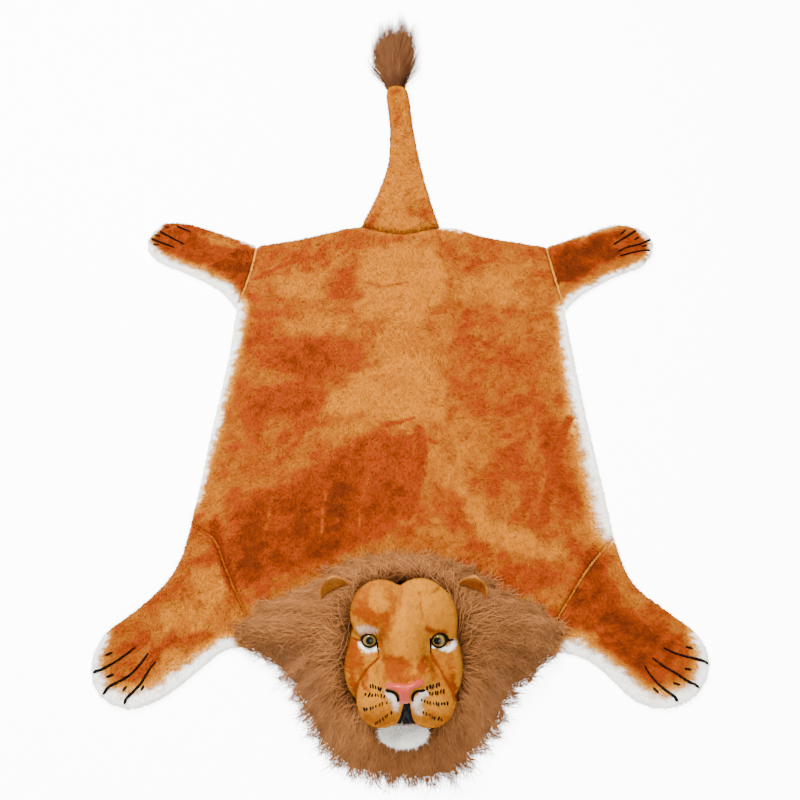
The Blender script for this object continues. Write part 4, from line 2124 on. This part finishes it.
@dataclass(frozen=True)
class Head:
    """The stuffed head with its eyes, nose, mouth and chin."""

    form: HeadForm = HeadForm()
    across: int = 168
    around: int = 276
    hairs: int = 60000
    pile: ShortPile = ShortPile(0.0026, 0.0007, 30)
    eye_radius: float = 0.0125
    eye_sunk: float = 0.005  # how deep its middle lies under the skin
    eye_rings: tuple = (40, 48)  # across and around
    eye_clear: float = 0.0112  # no pile grows nearer an eye's middle
    chin_rings: tuple = (30, 44)
    chin_hairs: int = 12000
    mouth_hairs: int = 4200
    mouth_pile: ShortPile = ShortPile(0.0042, 0.0006, 40)
    gaze: float = 63.0  # degrees above the floor
    yaws: tuple = (0.0, -9.0)  # degrees that each eye looks inward
    nose: FacePad = FacePad("nose_pad", mm(
        -25.2, 10.8, -21.5, 6.2, -13, 4.8, -6.2, 4.7, 2.3, 5.4, 8.9, 4.2, 15.6, 1.8, 22.5, 1.2, 27.2,
        4.5, 26.2, 8.6, 22.2, 10.8, 15.8, 11.8, 11.2, 14.2, 9, 19, 8.6, 25.6, 8, 32.5, 2.3, 35.2, -4.3,
        34.6, -6.6, 31.5, -5.6, 27, -6.8, 20.5, -10.2, 16, -16, 14, -23.3, 14.4), 0.0062, 0.0052, 0.0030)
    mouth: FacePad = FacePad("mouth_pad", mm(
        -0.6, 35, 4.5, 33.5, 10, 35.5, 10.4, 46, 12.6, 61, 18.8, 76.5, 4, 78.5, -10.6, 76.5, -5.6, 60.4,
        -2.6, 46), 0.0012, 0.0030, 0.0020)
    mouth_legs: tuple = (
        Line(mm(2.4, 35, 0.8, 45.7, -2.6, 60.4, -7.8, 77), 0.0023, 0.0021),
        Line(mm(6.8, 35, 7.3, 45.7, 9.4, 61.5, 15.6, 77), 0.0023, 0.0021),
    )
    nostrils: tuple = (
        Line(mm(-24, 16.2, -20, 17.6, -15, 17.8, -10.5, 20.2, -8.2, 24.6, -7.4, 31.8), 0.0026, 0.0021),
        Line(mm(28.2, 17, 23.6, 17.2, 18.5, 16.8, 14.2, 18.8, 12.2, 23.2, 11.8, 30.6), 0.0022, 0.0025),
    )
    eye_lines: tuple = (
        Line(mm(-36.4, -37, -35.6, -29, -34.7, -23), 0.0017, 0.0006),
        Line(mm(37.2, -43, 37.3, -33, 37.4, -22), 0.0018, 0.0006),
        Line(mm(57.5, -38, 63, -37.2, 69.5, -36.2), 0.0036, 0.0004),
    )
    rims: tuple = (
        EyeRim("left", EYES[0],
               ((0, 8.4, 10.6), (45, 6.6, 10.6), (90, 6.0, 10.4), (135, 7.2, 11.0), (180, 9.2, 14.0),
                (225, 8.6, 12.2), (270, 8.5, 11.0), (315, 8.4, 10.8))),
        EyeRim("right", EYES[1],
               ((0, 8.8, 14.6), (30, 8.0, 12.2), (60, 7.0, 11.2), (90, 6.0, 9.4), (135, 7.0, 9.8),
                (180, 8.3, 11.0), (225, 8.8, 11.2), (270, 9.2, 12.6), (315, 9.3, 14.2), (345, 9.0, 15.0))),
    )
    mouth_corners: tuple = (
        Line(mm(-39, 80.5, -36.5, 85.5, -32.5, 89.5, -29, 91.5), 0.0018, 0.0026),
        Line(mm(40.5, 79.5, 38.5, 84.5, 34.5, 88, 29.5, 89.5), 0.0018, 0.0024),
    )
    whisker_rows: tuple = (  # start and end, number of dashes
        (mm(-45, 17.1, -30.5, 18.3), 5),
        (mm(-50.7, 27.6, -26.1, 26.1), 7),
        (mm(-53.1, 47.4, -37.1, 40.5), 5),
        (mm(-33, 38.5, -23.3, 35.7), 3),
        (mm(-38.8, 67.2, -18.1, 50.5), 7),
        (mm(30.9, 15.3, 49, 15.7), 5),
        (mm(34.7, 24.5, 54.2, 22.9), 6),
        (mm(24.3, 31.5, 28.5, 34), 2),
        (mm(32.8, 35.5, 58.8, 38.9), 8),
        (mm(26.3, 48.6, 51.2, 61.6), 7),
    )

    def whiskers(self) -> tuple:
        """Rows of short upright dashes on the muzzle pads."""
        dashes = []
        rng = np.random.default_rng(7)
        for (start, end), count in self.whisker_rows:
            for share in np.linspace(0, 1, count):
                middle = start + (end - start) * share + rng.normal(size=2) * 0.0005
                lean = rng.normal() * 0.0006
                half = 0.0025 * rng.uniform(0.7, 1.2)
                top, foot = middle - (lean, half), middle + (lean, half)
                dashes.append(Line(np.array((top, middle, foot)), 0.0012, 0.0010))
        return tuple(dashes)

    def skin(self, wardrobe: Wardrobe) -> bpy.types.Object:
        """The sewn plush skin.

        Args:
            wardrobe: the materials.

        Returns:
            The skin.
        """
        directions = ball_directions(self.across, self.around)
        local = self.form.surface(directions)
        soft = layered_noise(local, 0.016, 2, 91) * 0.00035
        inward = -directions * (self.form.seam_depth(local) + soft)[:, None]
        local = local + inward
        flat = local[:, :2]
        front = ease(local[:, 2] / 0.03 + 1.0)
        tone = np.clip(FACE_DYE.tone(flat) * front + 0.25 * (1 - front), 0, 1.3)
        masks = {"tone": tone, "white": FACE_DYE.white(flat) * front}
        return new_piece("head_skin", to_world(local), ball_faces(self.across, self.around),
                         wardrobe.take(Look.FACE_CLOTH), masks, HEAD_CENTRE)

    def fuzz(self, skin: bpy.types.Object, wardrobe: Wardrobe) -> bpy.types.Object:
        """Short pile all over the skin.

        Args:
            skin: the skin.
            wardrobe: the materials.

        Returns:
            The pile.
        """
        rng = np.random.default_rng(303)
        spots = scattered(skin.data, self.hairs, -0.3, rng)
        local = to_head(spots.roots)
        clear = np.ones(len(local), dtype=bool)
        for x, t in EYES:
            clear &= np.hypot(local[:, 0] - x, local[:, 1] - t) > self.eye_clear
        drawn = (*self.nostrils, *self.eye_lines, *self.mouth_corners, *self.mouth_legs, *self.whiskers())
        for line in drawn:
            clear &= line_reach(local[:, :2], line.points)[0] > max(line.start, line.end) + 0.0017
        spots = Scatter(spots.roots[clear], spots.normals[clear])
        local = local[clear] + rng.normal(size=(clear.sum(), 3)) * 0.0006
        comb = FACE_T * 0.5 + unit(spots.roots - HEAD_CENTRE) * 0.8 + rng.normal(size=local.shape) * 0.5
        tone = FACE_DYE.tone(local[:, :2]) + rng.normal(size=len(local)) * 0.05
        masks = {"tone": np.clip(tone, 0, 1.3), "white": FACE_DYE.white(local[:, :2])}
        return self.pile.grow("head_pile", spots, comb, wardrobe.take(Look.FACE_HAIR), masks, rng)

    def eye(self, side: str, place: tuple, yaw: float, ground: Drop,
            wardrobe: Wardrobe) -> bpy.types.Object:
        """One toy eye.

        Args:
            side: left or right.
            place: its middle on the face.
            yaw: degrees that it looks to the right.
            ground: the face.
            wardrobe: the materials.

        Returns:
            The eye.
        """
        surface = to_head(ground.land(*place)[0])[0, 2]
        centre = to_world(np.array((*place, surface - self.eye_sunk)))[0]
        tilt, turn = math.radians(self.gaze), math.radians(yaw)
        level = np.array((0.0, -math.cos(tilt), math.sin(tilt)))
        gaze = level * math.cos(turn) + FACE_X * math.sin(turn)
        side_way = FACE_X * math.cos(turn) - level * math.sin(turn)
        rings = ball_directions(*self.eye_rings)
        axes = np.stack((-gaze, side_way, np.cross(gaze, side_way)))
        points = centre + self.eye_radius * rings @ axes
        turn = np.arccos(np.clip(-rings[:, 0], -1, 1)) / math.pi
        eye = new_piece(f"eye_{side}_ball", points, ball_faces(*self.eye_rings),
                        wardrobe.take(Look.EYE), {"turn": turn * 2}, centre)
        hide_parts(f"eye_{side}")
        return eye

    def chin(self, wardrobe: Wardrobe) -> list:
        """The fluffy chin.

        Args:
            wardrobe: the materials.

        Returns:
            Its pad and fluff.
        """
        rng = np.random.default_rng(55)
        directions = ball_directions(*self.chin_rings)
        middle, half = np.array(CHIN.middle), np.array(CHIN.half)
        bumps = 1 + 0.07 * layered_noise(directions, 0.5, 2, 5)
        local = middle + directions * half * (0.84 * bumps)[:, None]
        pad = new_piece("chin_pad", to_world(local), ball_faces(*self.chin_rings),
                        wardrobe.take(Look.FLUFF_BACKING), None, HEAD_CENTRE)
        spots = scattered(pad.data, self.chin_hairs, -0.8, rng)
        count = len(spots.roots)
        swirl = unit(rng.normal(size=(count, 3)))
        away = unit(to_head(spots.roots)[:, :2] - middle[:2] + rng.normal(size=(count, 2)) * 0.006)
        fanned = away[:, :1] * FACE_X + away[:, 1:] * FACE_T
        way = unit(0.7 * spots.normals + 0.55 * fanned + 0.85 * swirl)
        length = rng.uniform(0.005, 0.012, (count, 1)) * (1 + 0.5 * (rng.random((count, 1)) < 0.06))
        bend = unit(way + 0.3 * FACE_T + 0.8 * unit(rng.normal(size=(count, 3))))
        paths = np.stack((spots.roots - spots.normals * 0.001, spots.roots + way * length * 0.55,
                          spots.roots + way * length * 0.55 + bend * length * 0.45), axis=1)
        sides = unit(np.cross(way, rng.normal(size=(count, 3))))
        fluff = strands("chin_fluff", paths, rng.uniform(0.0006, 0.0012, count), sides,
                        wardrobe.take(Look.FLUFF), {"tone": rng.uniform(0, 1, count)})
        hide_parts("chin")
        return [pad, fluff]

    def nose_shape(self, flat: np.ndarray) -> np.ndarray:
        """Extra height of the nose: a shallow groove down its middle, wings a little fuller."""
        groove = -0.0010 * np.exp(-((flat[:, 0] - 0.001) / 0.0030) ** 2) * ease((flat[:, 1] - 0.012) / 0.008)
        wings = 0.0010 * ease(np.abs(flat[:, 0] - 0.002) / 0.016)
        return groove + wings

    def mouth_parts(self, ground: Drop, wardrobe: Wardrobe) -> list:
        """The black lining between the pads and its grey fuzz.

        Args:
            ground: the face.
            wardrobe: the materials.

        Returns:
            The pieces.
        """
        rng = np.random.default_rng(77)
        lining = self.mouth.build(ground, wardrobe.take(Look.LINING))
        legs = Linework("mouth_legs", self.mouth_legs, lift=0.0022, step=0.0010, ragged=0.06).build(
            ground, wardrobe.take(Look.INK))
        spots = scattered(lining.data, self.mouth_hairs, -1.0, rng)
        local = to_head(spots.roots)
        spread = 0.0035 + 0.12 * (local[:, 1] - 0.046)
        chance = ease((local[:, 1] - 0.046) / 0.012) * (np.abs(local[:, 0] - 0.0040) < spread)
        kept = rng.random(len(local)) < chance
        spots = Scatter(spots.roots[kept], spots.normals[kept])
        comb = FACE_T + rng.normal(size=spots.roots.shape) * 0.8
        fuzz = self.mouth_pile.grow("mouth_fuzz", spots, comb, wardrobe.take(Look.GREY_FUZZ),
                                    {"tone": rng.uniform(0, 1, kept.sum())}, rng)
        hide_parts("mouth_lining")
        return [lining, legs, fuzz]

    def build(self, wardrobe: Wardrobe) -> list:
        """Make the head and all that is sewn or fitted to it.

        Args:
            wardrobe: the materials.

        Returns:
            The pieces.
        """
        skin = self.skin(wardrobe)
        ground = face_drop([skin])
        fuzz = self.fuzz(skin, wardrobe)
        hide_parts("head")
        eyes = [self.eye(side, place, yaw, ground, wardrobe)
                for side, place, yaw in zip(("left", "right"), EYES, self.yaws)]
        nose = self.nose.build(ground, wardrobe.take(Look.NOSE), self.nose_shape)
        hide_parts("nose")
        black = wardrobe.take(Look.INK)
        brink = face_drop([skin, *eyes])
        dark = [rim.build(brink, black) for rim in self.rims]
        dark += self.mouth_parts(ground, wardrobe)
        for name, lines, lift, ragged in (("nostrils", self.nostrils, 0.0026, 0.04),
                                          ("eye_lines", self.eye_lines, 0.0022, 0.05),
                                          ("mouth_corners", self.mouth_corners, 0.0026, 0.08),
                                          ("whisker_dashes", self.whiskers(), 0.0024, 0.10)):
            dark.append(Linework(name, lines, lift, 0.0009, ragged).build(ground, black))
        return [skin, fuzz, nose, *dark, *self.chin(wardrobe)]


# ---------------------------------------------------------------- ears
@dataclass(frozen=True)
class Ear:
    """A small cupped ear that stands out of the mane."""

    side: str
    sign: int
    inner_tone: float
    length: float = 0.044
    half_width: float = 0.025
    thick: float = 0.009
    taper: float = 0.45  # how much of its thickness is gone at the tip
    cup: float = 0.008  # how deep its front is cupped
    root: tuple = (0.091, -0.489, 0.116)
    axis: tuple = (0.22, 0.55, 0.81)
    front: tuple = (-0.05, -0.80, 0.60)
    clear: float = 0.030  # no fur hangs this near before it
    hairs: int = 7000
    pile: ShortPile = ShortPile(0.0034, 0.0007, 26)
    around: ClassVar[int] = 44
    rows: ClassVar[int] = 26

    def frame_axes(self) -> tuple:
        """The ear's long axis, its cupped side and its width, as unit vectors."""
        axis = unit(np.array(self.axis))
        out = unit(np.array(self.front) - axis * (axis @ np.array(self.front)))
        return axis, out, np.cross(axis, out)

    def mirrored(self, points: np.ndarray) -> np.ndarray:
        """Points of the right ear, set on this ear's own side."""
        return np.atleast_2d(points) * (self.sign, 1, 1) + (HEAD_CENTRE[0], 0, 0)

    def place(self, height: float, angle: float) -> np.ndarray:
        """A point of the ear's skin, before it is mirrored.

        Args:
            height: share of the ear's length, from 0 to 1.
            angle: turn about its long axis.

        Returns:
            The point.
        """
        axis, out, wide = self.frame_axes()
        half = self.half_width * math.sqrt(1 - 0.975 * height**2.8)
        thick = self.thick * (1 - self.taper * height)
        across = math.cos(angle)
        cup = self.cup * (1 - 0.55 * height**2)
        depth = cup * (across * across - 1) + 0.5 * thick * math.sin(angle)
        if math.sin(angle) > 0:
            depth -= 0.0022 * (1 - across**4) * (1 - height**4)
        return np.array(self.root) + axis * self.length * height + wide * half * across + out * depth

    def shown(self, points: np.ndarray) -> np.ndarray:
        """Which points lie before or inside the part of the ear that shows.

        Args:
            points: world coordinates.

        Returns:
            True or false for each point.
        """
        axis, out, wide = self.frame_axes()
        local = (points - (HEAD_CENTRE[0], 0, 0)) * (self.sign, 1, 1) - np.array(self.root)
        height, depth, across = local @ axis / self.length, local @ out, local @ wide
        limit = 0.58 + 0.20 * (across / self.half_width) ** 2
        near = (depth > -0.010) & (depth < self.clear) & (np.abs(across) < 1.05 * self.half_width)
        return near & (height > limit)

    def build(self, wardrobe: Wardrobe) -> list:
        """Make the ear and its pile.

        Args:
            wardrobe: the materials.

        Returns:
            The pieces.
        """
        rng = np.random.default_rng(500 + self.sign)
        heights = 1 - (1 - np.linspace(0, 1, self.rows)) ** 1.6
        angles = np.arange(self.around) * 2 * math.pi / self.around
        rows = [[self.place(height, angle) for angle in angles] for height in heights]
        points = self.mirrored(np.array(rows).reshape(-1, 3))
        faces = ball_faces(self.rows, self.around)
        cupped = np.tile(ease(np.sin(angles) * 2.2 - 0.2), self.rows)
        up = np.repeat(heights, self.around)
        tone = cupped * self.inner_tone * (1 - ease((up - 0.72) / 0.22))
        mottled = np.clip(tone + 0.12 * layered_noise(points, 0.012, 2, 12), 0, 1)
        masks = {"tone": mottled, "white": np.zeros(len(points))}
        skin = new_piece(f"ear_{self.side}_skin", points, faces, wardrobe.take(Look.EAR_CLOTH), masks,
                         points.mean(axis=0))
        spots = scattered(skin.data, self.hairs, -1.1, rng)
        near = nearest_rows(points, spots.roots)
        axis = self.frame_axes()[0] * (self.sign, 1, 1)
        comb = axis + rng.normal(size=spots.roots.shape) * 0.4
        pile = self.pile.grow(
            f"ear_{self.side}_pile", spots, comb, wardrobe.take(Look.EAR_HAIR),
            {"tone": mottled[near], "white": np.zeros(len(near))}, rng)
        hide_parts(f"ear_{self.side}")
        return [skin, pile]


EARS = (Ear("left", -1, 0.34), Ear("right", 1, 0.66))


# ---------------------------------------------------------------- lines on the paws
TOE_LINES = (
    # left front paw
    Line(mm(-392, -521, -404, -532, -422, -545, -439, -555, -448, -558, -451, -565), 0.0013, 0.0032),
    Line(mm(-372, -530, -383, -548, -396, -563, -413, -574, -426, -582, -433, -594), 0.0013, 0.0032),
    Line(mm(-360, -543, -370, -558, -378, -574, -388, -587, -398, -599, -400, -611), 0.0013, 0.0032),
    Line(mm(-436, -534, -425, -529), 0.0022, 0.002),
    Line(mm(-431, -567, -420, -562), 0.0022, 0.002),
    Line(mm(-405, -587, -399, -580), 0.0022, 0.002),
    Line(mm(-378, -587, -374, -579), 0.0022, 0.002),
    # right front paw
    Line(mm(390, -522, 405, -530, 423, -536, 442, -541, 451, -545, 453, -552), 0.0013, 0.0032),
    Line(mm(372, -537, 388, -550, 405, -561, 420, -572, 432, -578, 438, -584), 0.0013, 0.0032),
    Line(mm(360, -549, 366, -561, 379, -578, 394, -591, 401, -597, 404, -607), 0.0013, 0.0032),
    Line(mm(423, -521, 433, -524), 0.0022, 0.002),
    Line(mm(418, -554, 428, -556), 0.0022, 0.002),
    Line(mm(399, -575, 410, -578), 0.0022, 0.002),
    Line(mm(370, -582, 377, -590), 0.0022, 0.002),
    # left hind paw
    Line(mm(-364, 224, -390, 238), 0.0011, 0.0023),
    Line(mm(-374, 199, -418, 226), 0.0011, 0.0027),
    Line(mm(-391, 193, -432, 211), 0.0011, 0.0027),
    Line(mm(-410, 235, -403, 235), 0.0016, 0.0013),
    Line(mm(-428, 220, -417, 216), 0.0016, 0.0013),
    Line(mm(-428, 199, -418, 199), 0.0016, 0.0013),
    # right hind paw
    Line(mm(369, 197, 411, 228), 0.0011, 0.0024),
    Line(mm(376, 183, 395, 193, 415, 199, 435, 209), 0.0011, 0.0024),
    Line(mm(379, 174, 403, 182, 421, 186, 439, 187), 0.0009, 0.0017),
    Line(mm(393, 229, 383, 218), 0.0016, 0.0013),
    Line(mm(415, 214, 407, 208), 0.0016, 0.0013),
    Line(mm(428, 197, 419, 194), 0.0016, 0.0013),
)
TAPE_HEIGHT = 0.0064  # over the floor, in the tips of the pile
SEAM_TAPES = (  # tone and line: pale where the pile parts over a seam, deep where it closes
    (-0.12, Line(mm(252, 196, 264.5, 140, 276.5, 80), 0.0039, 0.0039)),
    (-0.12, Line(mm(-248, 196, -258.5, 138, -274.5, 82), 0.0039, 0.0039)),
    (-0.05, Line(mm(330, -344, 316, -362, 290, -392.5, 258, -440.5, 205, -527), 0.0039, 0.0039)),
    (0.62, Line(mm(-325, -322, -289, -346.5, -272.5, -382.5, -245.5, -442.5, -200, -524), 0.004, 0.004)),
    (0.60, Line(mm(-68, 241, -36, 231, 6, 225, 70, 239), 0.0039, 0.0039)),
)


class Level:
    """A level to lay lines on, at one height."""

    def __init__(self, height: float) -> None:
        """Keep the height."""
        self.height = height

    def holds(self, spot: np.ndarray, wide: float) -> bool:
        """A level holds every spot."""
        return True

    def land(self, x: float, y: float) -> tuple:
        """The spot at this height, and the way up."""
        return np.array((x, y, self.height)), UP


# ---------------------------------------------------------------- studio
@dataclass(frozen=True)
class Studio:
    """The camera at the photograph's angle, a pale floor and soft lights."""

    elevation: float = 62.0
    distance: float = 2.2
    look_at: tuple = (0.0, -0.10, 0.0)
    lens: float = 60.48
    sensor: float = 36.0

    def camera(self) -> None:
        """Place the camera."""
        data = bpy.data.cameras.new("camera")
        data.lens = self.lens
        data.sensor_width = self.sensor
        camera = linked("camera", data)
        rise = math.radians(self.elevation)
        offset = Vector((0, -math.cos(rise), math.sin(rise))) * self.distance
        camera.location = Vector(self.look_at) + offset
        camera.rotation_euler = (-offset).to_track_quat("-Z", "Y").to_euler()
        bpy.context.scene.camera = camera

    def floor(self) -> None:
        """Lay a plain pale floor."""
        mesh = bpy.data.meshes.new("floor")
        corners = [(6 * x, 6 * y, -0.0003) for x, y in ((-1, -1), (1, -1), (1, 1), (-1, 1))]
        mesh.from_pydata(corners, [], [(0, 1, 2, 3)])
        material, bench, surface = new_material("pale floor", 0.9)
        seen = bench.node("ShaderNodeLightPath").outputs["Is Camera Ray"]
        bench.feed(surface, {"Base Color": (0.93, 0.93, 0.92, 1), "Specular IOR Level": 0.1,
                             "Emission Color": (1, 1, 1, 1),
                             "Emission Strength": bench.math("MULTIPLY_ADD", seen, 7.0, 0.6)})
        mesh.materials.append(material)
        linked("floor", mesh)

    def lamp(self, name: str, place: tuple, target: tuple, size: float, watts: float) -> None:
        """Hang a soft area light.

        Args:
            name: its name.
            place: where it hangs.
            target: what it points at.
            size: its width.
            watts: its power.
        """
        data = bpy.data.lights.new(name, "AREA")
        data.size = size
        data.energy = watts
        light = linked(name, data)
        light.location = place
        way = Vector(target) - Vector(place)
        light.rotation_euler = way.to_track_quat("-Z", "Y").to_euler()

    def build(self) -> None:
        """Set up the studio."""
        self.camera()
        self.floor()
        world = bpy.data.worlds.new("studio")
        world.use_nodes = True
        background = world.node_tree.nodes["Background"]
        background.inputs["Color"].default_value = (1, 1, 1, 1)
        background.inputs["Strength"].default_value = 1.25
        bpy.context.scene.world = world
        self.lamp("top light", (-0.8, 0.8, 2.6), (0, -0.1, 0), 1.0, 355)
        self.lamp("front light", (0.7, -2.1, 2.3), (0, -0.3, 0), 1.6, 84)


def main() -> None:
    """Dress the whole rug."""
    logging.basicConfig(level=logging.INFO, format="%(message)s")
    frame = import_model()
    Studio().build()
    wardrobe = Wardrobe()
    cloths = [panel.build(frame, wardrobe) for panel in PANELS]
    toes = Linework("toe_lines", TOE_LINES, lift=0.0034, step=0.0022, ragged=0.10).build(
        rug_drop(cloths), wardrobe.take(Look.INK))
    for number, (tone, line) in enumerate(SEAM_TAPES, 1):
        tape = Linework(f"seam_tape_{number}", (line,), lift=0.0006, step=0.004, ragged=0.12,
                        tone=tone).build(Level(TAPE_HEIGHT), wardrobe.take(Look.RUG_CLOTH))
    Head().build(wardrobe)
    for ear in EARS:
        ear.build(wardrobe)
    for fur in (MANE, TUFT):
        fur.build(frame, wardrobe)


if __name__ == "__main__":
    main()
